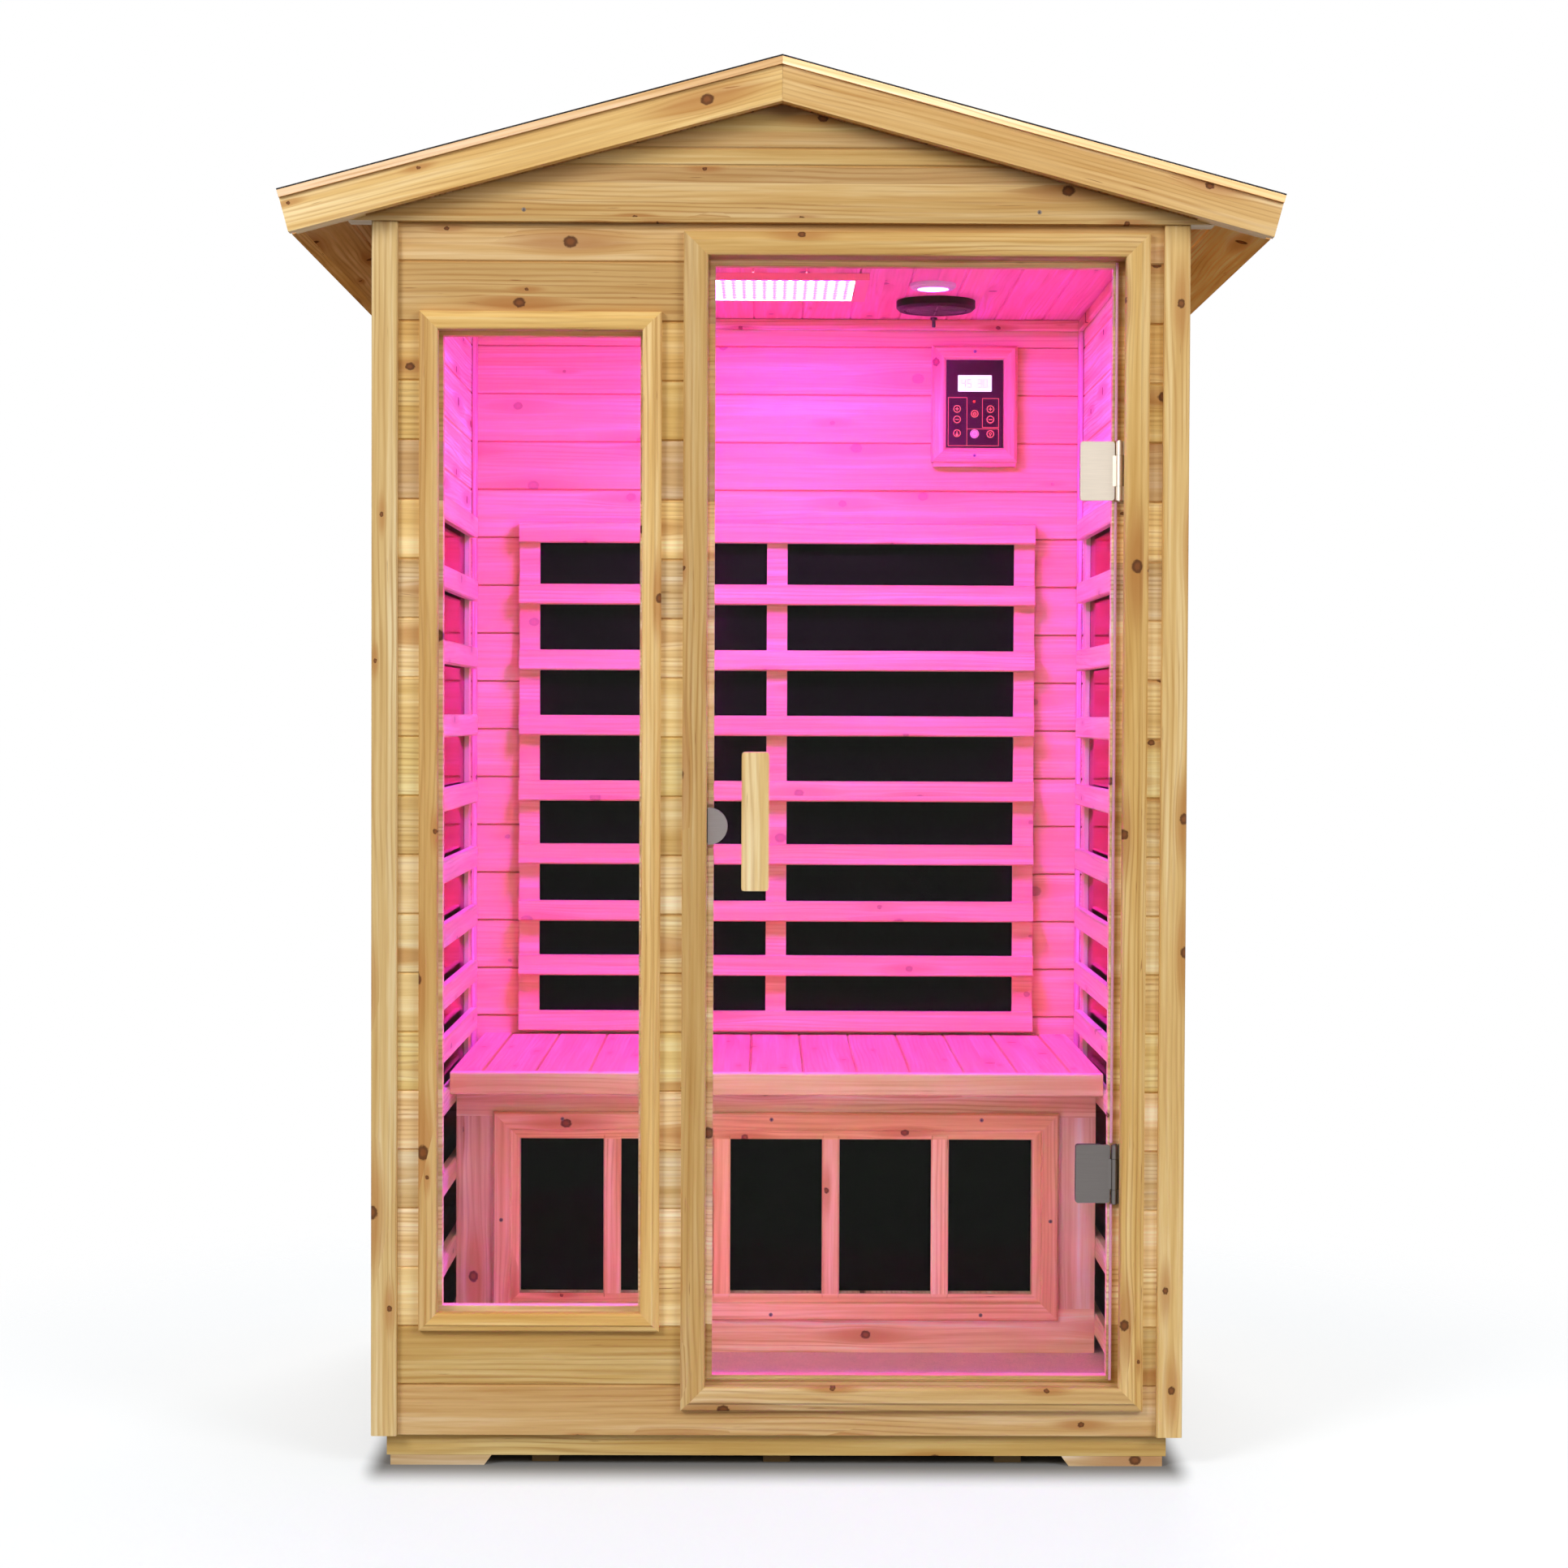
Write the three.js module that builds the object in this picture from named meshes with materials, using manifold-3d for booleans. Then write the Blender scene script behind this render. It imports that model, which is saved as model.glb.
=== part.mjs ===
// An outdoor infrared sauna cabin for two, with a pitched roof, a tall window and a glass door.
// Millimetres. X runs to the right as seen from the front, Y to the back and Z up.
// The origin is on the ground under the middle of the cabin, and the front faces -Y.
import * as THREE from "three";
import { mergeVertices } from "three/addons/utils/BufferGeometryUtils.js";
import Module from "manifold-3d";

const wasm = await Module();
wasm.setup();

// Fits
const SEAT_GAP = 0.3; // between a piece and the piece that carries it
const CUT_PAST = 5; // how far a cutting shape runs past the face it cuts

// Body
const BODY_WIDTH = 1200;
const BODY_DEPTH = 1050;
const HALF_WIDTH = BODY_WIDTH / 2;
const FRONT = -BODY_DEPTH / 2;
const BACK = BODY_DEPTH / 2;
const BASE_BOTTOM = 15;
const BASE_HEIGHT = 32.7;
const BASE_TOP = BASE_BOTTOM + BASE_HEIGHT;
const WALL_BOTTOM = BASE_TOP + SEAT_GAP;
const WALL_HEIGHT = 1787;
const WALL_TOP = WALL_BOTTOM + WALL_HEIGHT;
const FLOOR_THICKNESS = 8;
const FLOOR_TOP = WALL_BOTTOM + FLOOR_THICKNESS;

// Boards
const BOARD_PITCH = 87.2;
const GROOVE_WIDTH = 5;
const GROOVE_DEPTH = 3.2;
const OUTER_FIRST_BOARD = 74; // width of the lowest board on the outer faces
const INNER_FIRST_BOARD = 81;
const MIDDLE_BOARDS = 6.5; // boards from the middle of the ceiling or seat out to its first groove

// Walls
const POST_WIDTH = 38;
const POST_ROUND = 3;
const SIDE_WALL_THICKNESS = 44;
const SIDE_BOARD_SETBACK = 4; // boards of a side wall behind the outer face of its stiles
const INNER_HALF_WIDTH = HALF_WIDTH - SIDE_WALL_THICKNESS;
const FRONT_BOARD_SETBACK = 10;
const FRONT_WALL_THICKNESS = 40;
const FRONT_WALL_OUTER = FRONT + FRONT_BOARD_SETBACK;
const FRONT_WALL_INNER = FRONT_WALL_OUTER + FRONT_WALL_THICKNESS;
const BACK_BOARD_SETBACK = 7;
const BACK_WALL_THICKNESS = 34;
const BACK_WALL_OUTER = BACK - BACK_BOARD_SETBACK;
const BACK_WALL_INNER = BACK_WALL_OUTER - BACK_WALL_THICKNESS;
const END_WALL_HALF_WIDTH = HALF_WIDTH - POST_WIDTH - SEAT_GAP;

// Glazing
const GLASS_SETBACK = 15; // both panes behind the boards of the front wall
const GLASS_FRONT = FRONT_WALL_OUTER + GLASS_SETBACK;
const CASING_PROUD = 16;

// Doorway and window, each as the inner edge of its casing
const DOORWAY_WIDTH = 612;
const DOORWAY_FROM_SIDE = 95;
const DOORWAY_RISE = 74.5;
const DOORWAY_DROP = 48;
const DOORWAY = {
  left: HALF_WIDTH - DOORWAY_FROM_SIDE - DOORWAY_WIDTH,
  right: HALF_WIDTH - DOORWAY_FROM_SIDE,
  bottom: WALL_BOTTOM + DOORWAY_RISE,
  top: WALL_TOP - DOORWAY_DROP,
};
const WINDOW_FROM_SIDE = 98;
const WINDOW_FROM_DOORWAY = 96;
const WINDOW_RISE = 184;
const WINDOW_DROP = 158;
const WINDOW = {
  left: WINDOW_FROM_SIDE - HALF_WIDTH,
  right: DOORWAY.left - WINDOW_FROM_DOORWAY,
  bottom: WALL_BOTTOM + WINDOW_RISE,
  top: WALL_TOP - WINDOW_DROP,
};
const WINDOW_CASING_WIDTH = 28;
const WINDOW_GLASS_THICKNESS = 6;
const WINDOW_REBATE = 6; // from the casing's inner edge out to the edge of the rebate
const WINDOW_STOP = 4; // from the casing's inner edge in to the edge of the stop

// Door
const DOOR_CASING_WIDTH = 36;
const HINGE_SIDE_REVEAL = 3; // the jamb stands back from the casing on the hinge side
const DOOR_GLASS_GAP = 3; // at the free edge and the top
const DOOR_GLASS_HINGE_GAP = 12;
const DOOR_GLASS_SILL_GAP = 5.5;
const DOOR_GLASS = {
  left: DOORWAY.left + DOOR_GLASS_GAP,
  right: DOORWAY.right - DOOR_GLASS_HINGE_GAP,
  bottom: DOORWAY.bottom + DOOR_GLASS_SILL_GAP,
  top: DOORWAY.top - DOOR_GLASS_GAP,
};
const DOOR_GLASS_THICKNESS = 8;
const DOOR_GLASS_BACK = GLASS_FRONT + DOOR_GLASS_THICKNESS;
const DOOR_STOP_CLEARANCE = 0.5;
const DOOR_STOP_FRONT = DOOR_GLASS_BACK + DOOR_STOP_CLEARANCE;
const DOOR_STOP_LAP = 7; // of the stop over the edge of the glass
const DOOR_STOP_HINGE_LAP = 3;
const DOOR_STOP_SILL_LAP = 5;
const DOOR_STOP = {
  left: DOOR_GLASS.left + DOOR_STOP_LAP,
  right: DOOR_GLASS.right - DOOR_STOP_HINGE_LAP,
  bottom: DOOR_GLASS.bottom + DOOR_STOP_SILL_LAP,
  top: DOOR_GLASS.top - DOOR_STOP_LAP,
};

// Hinges: the axis stands just in front of the glass
const HINGE_AXIS_INSET = 5.2;
const HINGE_AXIS_PROUD = 5.5;
const HINGE_AXIS_X = DOORWAY.right - HINGE_AXIS_INSET;
const HINGE_AXIS_Y = GLASS_FRONT - HINGE_AXIS_PROUD;
const UPPER_HINGE_DROP = 309.7;
const LOWER_HINGE_RISE = 313.9;
const HINGE_HEIGHTS = {
  upper: DOORWAY.top - UPPER_HINGE_DROP,
  lower: DOORWAY.bottom + LOWER_HINGE_RISE,
};
const HINGE_HEIGHT = 87;
const HINGE_KNUCKLE_RADIUS = 5.4;
const HINGE_PIN_RADIUS = 2;
const HINGE_PIN_HEAD_RADIUS = 3.4;
const HINGE_PIN_CLEARANCE = 0.35;
const HINGE_MIDDLE_KNUCKLE = 45.5;
const HINGE_KNUCKLE_GAP = 0.5;
const HINGE_PLATE_THICKNESS = 2.6;
const HINGE_PLATE_FAR = 57.7; // from the axis to the far edge of the plate
const HINGE_PLATE_NEAR = 6.8;
const HINGE_CLAMP_NEAR = 17.5;
const HINGE_CORNER = 4;
const HINGE_JAMB_PLATE = [2, 12]; // thickness, and reach back from the axis

// Handles and catch
const HANDLE_FROM_EDGE = 68.6;
const HANDLE_RISE = 836.2;
const HANDLE_CENTRE_X = DOOR_GLASS.left + HANDLE_FROM_EDGE;
const HANDLE_CENTRE_Z = DOORWAY.bottom + HANDLE_RISE;
const HANDLE_WIDTH = 40;
const HANDLE_HEIGHT = 203;
const HANDLE_DEPTH = 20;
const HANDLE_CORNER = 4;
const HANDLE_STANDOFF = 24;
const HANDLE_BOLT_RADIUS = 4;
const HANDLE_BOLT_FROM_END = 37.5;
const HANDLE_BOLT_DEPTH = 10; // how far each bolt reaches into the outer handle
const CATCH_RISE = 828;
const CATCH_CENTRE_Z = DOORWAY.bottom + CATCH_RISE;
const CATCH_HEIGHT = 55;
const CATCH_REACH = 28; // from the glass edge inwards
const CATCH_METAL = 1.5;
const MAGNET_HEIGHT = 50;
const MAGNET_POCKET_DEPTH = 11;

// Roof: depths are below its surface, square to the slope
const ROOF_PITCH = THREE.MathUtils.degToRad(15.1);
const FELT_THICKNESS = 2;
const DECK_BOTTOM = 13;
const SOFFIT_DEPTH = 61;
const FASCIA_BOTTOM = 63.5;
const EAVE_CLEARANCE = 9.93; // between the soffit and the top of a side wall's outer edge
const EAVE_OVERHANG = 131;
const ROOF_HALF_SPAN = HALF_WIDTH + EAVE_OVERHANG;
const SOFFIT_AT_WALL = WALL_TOP + EAVE_CLEARANCE;
const RIDGE_TOP = SOFFIT_AT_WALL + HALF_WIDTH * Math.tan(ROOF_PITCH) + SOFFIT_DEPTH / Math.cos(ROOF_PITCH);
const SLOPE_LENGTH = ROOF_HALF_SPAN / Math.cos(ROOF_PITCH);
const GABLE_PROUD = 5;
const GABLE_FACE = BACK + GABLE_PROUD;
const GABLE_THICKNESS = 40;
const GABLE_GROOVE_RISES = [82.4, 107.7];
const GABLE_GROOVES = GABLE_GROOVE_RISES.map((rise) => WALL_TOP + rise);
const FASCIA_THICKNESS = 18;
const CLEAT_THICKNESS = 20;
const FASCIA_FRONT = GABLE_FACE + CLEAT_THICKNESS + FASCIA_THICKNESS;
const DECK_LIP = 6;
const DECK_HALF_LENGTH = FASCIA_FRONT + DECK_LIP;
const CLEAT_LENGTH = 109;
const CLEAT_INSET = 8; // from the end of the eave
const CLEAT_TOP = 44;
const CEILING_THICKNESS = 17;

// Base
const BASE_SIDE_SETBACK = 21;
const BASE_END_SETBACK = 22;
const BASE_HALF_WIDTH = HALF_WIDTH - BASE_SIDE_SETBACK;
const BASE_HALF_DEPTH = BACK - BASE_END_SETBACK;
const BASE_BOARD = 40;
const RUNNER_SPACING = 345;
const RUNNER_WIDTH = 40;
const RUNNER_SETBACK = 21;
const FOOT_INSET = 5.5;
const FOOT_OUTER_X = BASE_HALF_WIDTH - FOOT_INSET;
const FOOT_LENGTH = 150;
const FOOT_BEVEL = 11;
const FOOT_DEPTH = 100;

// Heater panels and guards, as depths out from the wall
const PANEL_THICKNESS = 4.5;
const PANEL_MARGIN = 12; // a heater panel inside the edges of its guard
const STILE_THICKNESS = 8;
const SLAT_THICKNESS = 12;
const SLAT_HEIGHT = 37;
const SLAT_CHAMFER = 2.5;
const STILE_BACK = SEAT_GAP + PANEL_THICKNESS + SEAT_GAP;
const STILE_FRONT = STILE_BACK + STILE_THICKNESS;
const SLAT_FRONT = STILE_FRONT + SLAT_THICKNESS;

// Bench
const SEAT_HEIGHT = 477.5; // above the floor board
const SEAT_TOP = FLOOR_TOP + SEAT_HEIGHT;
const SEAT_THICKNESS = 22;
const SEAT_DEPTH = 581.6;
const SEAT_FRONT = BACK_WALL_INNER - SEAT_DEPTH;
const SEAT_SIDE_GAP = 0.4;
const SEAT_HALF_WIDTH = INNER_HALF_WIDTH - SLAT_FRONT - SEAT_SIDE_GAP;
const NOSING_HEIGHT = 36;
const NOSING_DEPTH = 22;
const NOSING_ROUND = 2.5;
const SEAT_OVERHANG = 97.6;
const SKIRT_FRONT = SEAT_FRONT + SEAT_OVERHANG;
const SKIRT_THICKNESS = 20;
const CALF_FRAME_FROM_SIDE = 61.5;
const CALF_FRAME_RISE = 55.5;
const CALF_FRAME_DROP = 76.5;
const CALF_FRAME = {
  left: CALF_FRAME_FROM_SIDE - SEAT_HALF_WIDTH,
  right: SEAT_HALF_WIDTH - CALF_FRAME_FROM_SIDE,
  bottom: FLOOR_TOP + CALF_FRAME_RISE,
  top: SEAT_TOP - CALF_FRAME_DROP,
};
const CALF_FRAME_WIDTH = 44;
const CALF_FRAME_LIP = 14;
const CALF_FRAME_PROUD = 12;
const CALF_SLAT_PITCH = 181;
const CALF_SLAT_WIDTH = 29;
const CALF_SLAT_LAP = 6; // of a slat's ends into the frame
const CALF_SLAT_SETBACK = 4; // of a slat's face behind the frame's face

// Places of the guards, with their slats counted from the top of the seat
const BACK_GUARD_FROM_SIDE = 88;
const BACK_GUARD_RISE = 5.9;
const GUARD_DROP = 371.2; // from the top of the walls
const BACK_GUARD = {
  left: BACK_GUARD_FROM_SIDE - INNER_HALF_WIDTH,
  right: INNER_HALF_WIDTH - BACK_GUARD_FROM_SIDE,
  bottom: SEAT_TOP + BACK_GUARD_RISE,
  top: WALL_TOP - GUARD_DROP,
};
const BACK_SLAT_RISES = [800.1, 681, 562.4, 443.6, 328.5, 225, 125.9];
const BACK_SLATS = BACK_SLAT_RISES.map((rise) => SEAT_TOP + rise);
const SIDE_GUARD_FROM_FRONT = 35;
const SIDE_GUARD_FROM_BACK = 139;
const SIDE_GUARD_RISE = 28.5;
const SIDE_GUARD = {
  front: FRONT_WALL_INNER + SIDE_GUARD_FROM_FRONT,
  back: BACK_WALL_INNER - SIDE_GUARD_FROM_BACK,
  bottom: FLOOR_TOP + SIDE_GUARD_RISE,
  top: WALL_TOP - GUARD_DROP,
};
const SIDE_LOWER_SLAT_RISES = [41.5, -43.5, -172.5, -301.5];
const SIDE_LOWER_SLATS = SIDE_LOWER_SLAT_RISES.map((rise) => SEAT_TOP + rise);
const SIDE_MIDDLE_STILE_FROM_FRONT = 363;
const SIDE_MIDDLE_STILE = FRONT_WALL_INNER + SIDE_MIDDLE_STILE_FROM_FRONT;

// Ceiling fittings
const LIGHT_PANEL = { halfWidth: 146, front: -57, back: 184, thickness: 11, border: 23, recess: 1.5 };
const LIGHT_PANEL_END_BORDER = 10;
const COLOUR_LAMP_AT = [256, 54];
const READING_LAMP_AT = [197, -195];
const LAMP_RADIUS = 38.5;
const LAMP_LENS_RADIUS = 26;
const LAMP_THICKNESS = 9;
const SPEAKER_AT = [272.5, 250];
const SPEAKER_RADIUS = 68.5;
const SPEAKER_THICKNESS = 17;

// Control panel
const CONTROL_FROM_SIDE = 199;
const CONTROL_DROP = 153;
const CONTROL_CENTRE = [INNER_HALF_WIDTH - CONTROL_FROM_SIDE, WALL_TOP - CONTROL_DROP];
const CONTROL_FACE_HALF = [51.2, 79];
const CONTROL_FRAME_WIDTH = 26.2;
const CONTROL_FRAME_HALF = CONTROL_FACE_HALF.map((half) => half + SEAT_GAP + CONTROL_FRAME_WIDTH);
const CONTROL_FRAME_DEPTH = 20;
const CONTROL_FACE_SETBACK = 3;
const CONTROL_FACE_DEPTH = 12;
const CONTROL_SILL_INSET = 3;
const CONTROL_SILL_LAP = 5.5;
const CONTROL_SILL_HEIGHT = 8.5;
const CONTROL_SILL_DEPTH = 13;
const DISPLAY_CENTRE_Z = 36.7;
const DISPLAY_HALF = [31, 15.2];
const DISPLAY_RECESS = 0.8;
const KEY_RADIUS = 8;
const KEY_CLEARANCE = 0.35;
const KEY_PROUD = 1.4;
const KEY_LENGTH = 5.4;
const KEY_TRAVEL_ROOM = 1.2;
const KEYS = {
  key_temperature_up: [-32, -9.7],
  key_temperature_down: [-32, -28.6],
  key_temperature_unit: [-32, -53.7],
  key_power: [0, -18.3],
  key_colour_light: [0, -54.5],
  key_time_up: [28.5, -9.9],
  key_time_down: [28.5, -28.6],
  key_reading_light: [28.5, -54.9],
};

// Finishes
const FINISH = {
  fir: [0xd9b57a, 0.62, 0],
  firDark: [0x8a5a30, 0.75, 0],
  floor: [0x9a8a86, 0.9, 0],
  felt: [0x1d1d1f, 0.95, 0],
  glass: [0xe6eeec, 0.04, 0],
  steel: [0xb9b2a8, 0.3, 1],
  heater: [0x161616, 0.35, 0],
  lampWhite: [0xf2eef0, 0.3, 0],
  blackPlastic: [0x141416, 0.35, 0],
  keyGrey: [0x3a3b40, 0.35, 0],
  magnet: [0xd8d4cc, 0.5, 0],
};

// A closed triangle mesh as a solid for booleans.
function solidOf(geometry) {
  const bare = geometry.clone();
  bare.deleteAttribute("normal");
  bare.deleteAttribute("uv");
  const merged = mergeVertices(bare, 1e-4);
  const mesh = new wasm.Mesh({
    numProp: 3,
    vertProperties: merged.attributes.position.array,
    triVerts: new Uint32Array(merged.index.array),
  });
  return new wasm.Manifold(mesh);
}

// A solid back as three.js geometry with flat shading.
function geometryOf(solid) {
  const mesh = solid.getMesh();
  const indexed = new THREE.BufferGeometry();
  indexed.setAttribute("position", new THREE.BufferAttribute(mesh.vertProperties, 3));
  indexed.setIndex(new THREE.BufferAttribute(mesh.triVerts, 1));
  const flat = indexed.toNonIndexed();
  flat.computeVertexNormals();
  return flat;
}

function union(geometries) {
  return geometryOf(geometries.map(solidOf).reduce((sum, next) => sum.add(next)));
}

function cut(geometry, cutters) {
  return geometryOf(cutters.map(solidOf).reduce((rest, next) => rest.subtract(next), solidOf(geometry)));
}

// A box between two corners.
function box(low, high) {
  const size = high.map((value, axis) => value - low[axis]);
  const centre = high.map((value, axis) => (value + low[axis]) / 2);
  return new THREE.BoxGeometry(...size).translate(...centre);
}

function extrude(outline, length, holes = []) {
  const shape = new THREE.Shape(outline.map(([a, b]) => new THREE.Vector2(a, b)));
  shape.holes = holes;
  return new THREE.ExtrudeGeometry(shape, { depth: length, bevelEnabled: false, curveSegments: 6 });
}

// An outline in Y and Z, run along X.
function alongX(outline, from, to) {
  const turn = new THREE.Matrix4().makeBasis(
    new THREE.Vector3(0, 1, 0),
    new THREE.Vector3(0, 0, 1),
    new THREE.Vector3(1, 0, 0),
  );
  return extrude(outline, to - from).applyMatrix4(turn).translate(from, 0, 0);
}

// An outline in X and Z, run along Y.
function alongY(outline, from, to, holes = []) {
  return extrude(outline, to - from, holes).rotateX(Math.PI / 2).translate(0, to, 0);
}

// An outline in X and Y, run along Z.
function alongZ(outline, from, to, holes = []) {
  return extrude(outline, to - from, holes).translate(0, 0, from);
}

// A rectangle with its corners rounded by short chords.
function roundedRectangle(left, bottom, right, top, radius, steps = 3) {
  const corners = [
    [right - radius, bottom + radius, -Math.PI / 2],
    [right - radius, top - radius, 0],
    [left + radius, top - radius, Math.PI / 2],
    [left + radius, bottom + radius, Math.PI],
  ];
  return corners.flatMap(([x, y, start]) =>
    Array.from({ length: steps + 1 }, (_, step) => {
      const angle = start + (step / steps) * (Math.PI / 2);
      return [x + radius * Math.cos(angle), y + radius * Math.sin(angle)];
    }),
  );
}

function circleHole(x, y, radius) {
  return new THREE.Path().absarc(x, y, radius, 0, 2 * Math.PI, true);
}

function cylinderZ(radius, from, to, segments = 20) {
  return new THREE.CylinderGeometry(radius, radius, to - from, segments)
    .rotateX(Math.PI / 2)
    .translate(0, 0, (from + to) / 2);
}

function cylinderY(radius, from, to, segments = 20) {
  return new THREE.CylinderGeometry(radius, radius, to - from, segments).translate(0, (from + to) / 2, 0);
}

// Places of the grooves between two ends, counted from the first one in steps of a board.
function groovePlaces(first, from, to) {
  const count = Math.ceil((to - from) / BOARD_PITCH) + 1;
  return Array.from({ length: count }, (_, index) => first + index * BOARD_PITCH).filter(
    (place) => place > from + GROOVE_WIDTH && place < to - GROOVE_WIDTH,
  );
}

// One boarded face as points along it: level at `face`, dipping `inward` at each V groove.
function boardedEdge(face, inward, from, to, grooves) {
  const dips = grooves.flatMap((place) => [
    [face, place - GROOVE_WIDTH / 2],
    [face + inward * GROOVE_DEPTH, place],
    [face, place + GROOVE_WIDTH / 2],
  ]);
  return [[face, from], ...dips, [face, to]];
}

// Section of a wall that is boarded on both faces.
function boardedSection(outer, inner, bottom, top) {
  const inward = Math.sign(inner - outer);
  const outerGrooves = groovePlaces(bottom + OUTER_FIRST_BOARD, bottom, top);
  const innerGrooves = groovePlaces(bottom + INNER_FIRST_BOARD, bottom, top);
  const up = boardedEdge(outer, inward, bottom, top, outerGrooves);
  const down = boardedEdge(inner, -inward, bottom, top, innerGrooves).reverse();
  return [...up, ...down];
}

// A moulded frame with mitred corners, lathed in four steps and spread to the opening's size.
// The section gives [distance out from the opening, height towards the front].
function mitredFrame(opening, section, backPlane) {
  const closed = [...section, section[0]].reverse();
  const turned = closed.map(([out, height]) => new THREE.Vector2((out + 1) * Math.SQRT2, height));
  const ring = new THREE.LatheGeometry(turned, 4, Math.PI / 4);
  const halfWidth = (opening.right - opening.left) / 2 - 1;
  const halfHeight = (opening.top - opening.bottom) / 2 - 1;
  const points = ring.attributes.position;
  for (let index = 0; index < points.count; index += 1) {
    const x = points.getX(index);
    const z = points.getZ(index);
    points.setX(index, x + Math.sign(x) * halfWidth);
    points.setZ(index, z + Math.sign(z) * halfHeight);
  }
  const centreX = (opening.left + opening.right) / 2;
  const centreZ = (opening.bottom + opening.top) / 2;
  return ring.rotateX(Math.PI).translate(centreX, backPlane, centreZ);
}

// A point of the roof: distance down the slope from the ridge and depth below the surface.
function roofPoint(side, along, depth) {
  const x = along * Math.cos(ROOF_PITCH) - depth * Math.sin(ROOF_PITCH);
  const z = RIDGE_TOP - along * Math.sin(ROOF_PITCH) - depth * Math.cos(ROOF_PITCH);
  return [side * x, z];
}

// Where a roof layer meets the upright cut at the ridge.
function ridgePoint(side, depth) {
  const x = SEAT_GAP / 2;
  return [side * x, RIDGE_TOP - depth / Math.cos(ROOF_PITCH) - x * Math.tan(ROOF_PITCH)];
}

function roofLayer(side, upper, lower) {
  return [
    ridgePoint(side, upper),
    ridgePoint(side, lower),
    roofPoint(side, SLOPE_LENGTH, lower),
    roofPoint(side, SLOPE_LENGTH, upper),
  ];
}

// One wooden bar of a guard: a section with its two front edges eased, run between two ends.
function slatSection(centre, width, back, front) {
  const ease = SLAT_CHAMFER * Math.sign(back - front);
  return [
    [back, centre - width / 2],
    [back, centre + width / 2],
    [front + ease, centre + width / 2],
    [front, centre + width / 2 - SLAT_CHAMFER],
    [front, centre - width / 2 + SLAT_CHAMFER],
    [front + ease, centre - width / 2],
  ];
}

const root = new THREE.Group();
root.name = "sauna_cabin";
const door = new THREE.Group();
door.name = "door_group";
door.position.set(HINGE_AXIS_X, HINGE_AXIS_Y, 0);
const controlPanel = new THREE.Group();
controlPanel.name = "control_group";
controlPanel.position.set(CONTROL_CENTRE[0], BACK_WALL_INNER - SEAT_GAP, CONTROL_CENTRE[1]);
root.add(door, controlPanel);

function add(parent, name, finish, geometry) {
  const [color, roughness, metalness] = FINISH[finish];
  const mesh = new THREE.Mesh(geometry, new THREE.MeshStandardMaterial({ color, roughness, metalness }));
  mesh.name = name;
  parent.add(mesh);
  return mesh;
}

// Base frame, with the three runners that also carry the floor.
function baseFrame() {
  const outer = box(
    [-BASE_HALF_WIDTH, -BASE_HALF_DEPTH, BASE_BOTTOM],
    [BASE_HALF_WIDTH, BASE_HALF_DEPTH, BASE_TOP],
  );
  const inside = box(
    [BASE_BOARD - BASE_HALF_WIDTH, BASE_BOARD - BASE_HALF_DEPTH, BASE_BOTTOM - CUT_PAST],
    [BASE_HALF_WIDTH - BASE_BOARD, BASE_HALF_DEPTH - BASE_BOARD, BASE_TOP + CUT_PAST],
  );
  const runners = [-1, 0, 1].map((place) =>
    box(
      [place * RUNNER_SPACING - RUNNER_WIDTH / 2, RUNNER_SETBACK - BASE_HALF_DEPTH, 0],
      [place * RUNNER_SPACING + RUNNER_WIDTH / 2, BASE_HALF_DEPTH - RUNNER_SETBACK, BASE_TOP],
    ),
  );
  return union([cut(outer, [inside]), ...runners]);
}

function foot(side, end) {
  const top = BASE_BOTTOM - SEAT_GAP;
  const outline = [
    [side * FOOT_OUTER_X, 0],
    [side * FOOT_OUTER_X, top],
    [side * (FOOT_OUTER_X - FOOT_LENGTH), top],
    [side * (FOOT_OUTER_X - FOOT_LENGTH + FOOT_BEVEL), 0],
  ];
  const outerEnd = end * BASE_HALF_DEPTH;
  const innerEnd = end * (BASE_HALF_DEPTH - FOOT_DEPTH);
  return alongY(outline, Math.min(outerEnd, innerEnd), Math.max(outerEnd, innerEnd));
}

add(root, "base_frame", "firDark", baseFrame());
for (const [endName, end] of [["front", -1], ["back", 1]]) {
  add(root, `foot_${endName}_left`, "fir", foot(-1, end));
  add(root, `foot_${endName}_right`, "fir", foot(1, end));
}
add(
  root,
  "floor_board",
  "floor",
  box(
    [-INNER_HALF_WIDTH + 0.5, FRONT_WALL_INNER + 0.5, WALL_BOTTOM],
    [INNER_HALF_WIDTH - 0.5, BACK_WALL_INNER - 0.5, FLOOR_TOP],
  ),
);

// A side wall: boards between a front and a back stile, whose edges show as corner posts.
function sideWall(side) {
  const boardFace = HALF_WIDTH - SIDE_BOARD_SETBACK;
  const section = boardedSection(boardFace, INNER_HALF_WIDTH, WALL_BOTTOM, WALL_TOP);
  const panelFront = FRONT_WALL_INNER + SEAT_GAP;
  const panelBack = BACK_WALL_INNER - SEAT_GAP;
  const panel = alongY(section.map(([x, z]) => [side * x, z]), panelFront, panelBack);
  const inner = side * (HALF_WIDTH - POST_WIDTH);
  const outer = side * HALF_WIDTH;
  const stile = (from, to) =>
    alongZ(
      roundedRectangle(Math.min(inner, outer), from, Math.max(inner, outer), to, POST_ROUND),
      WALL_BOTTOM,
      WALL_TOP,
    );
  return union([panel, stile(FRONT, panelFront + POST_ROUND), stile(panelBack - POST_ROUND, BACK)]);
}

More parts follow.
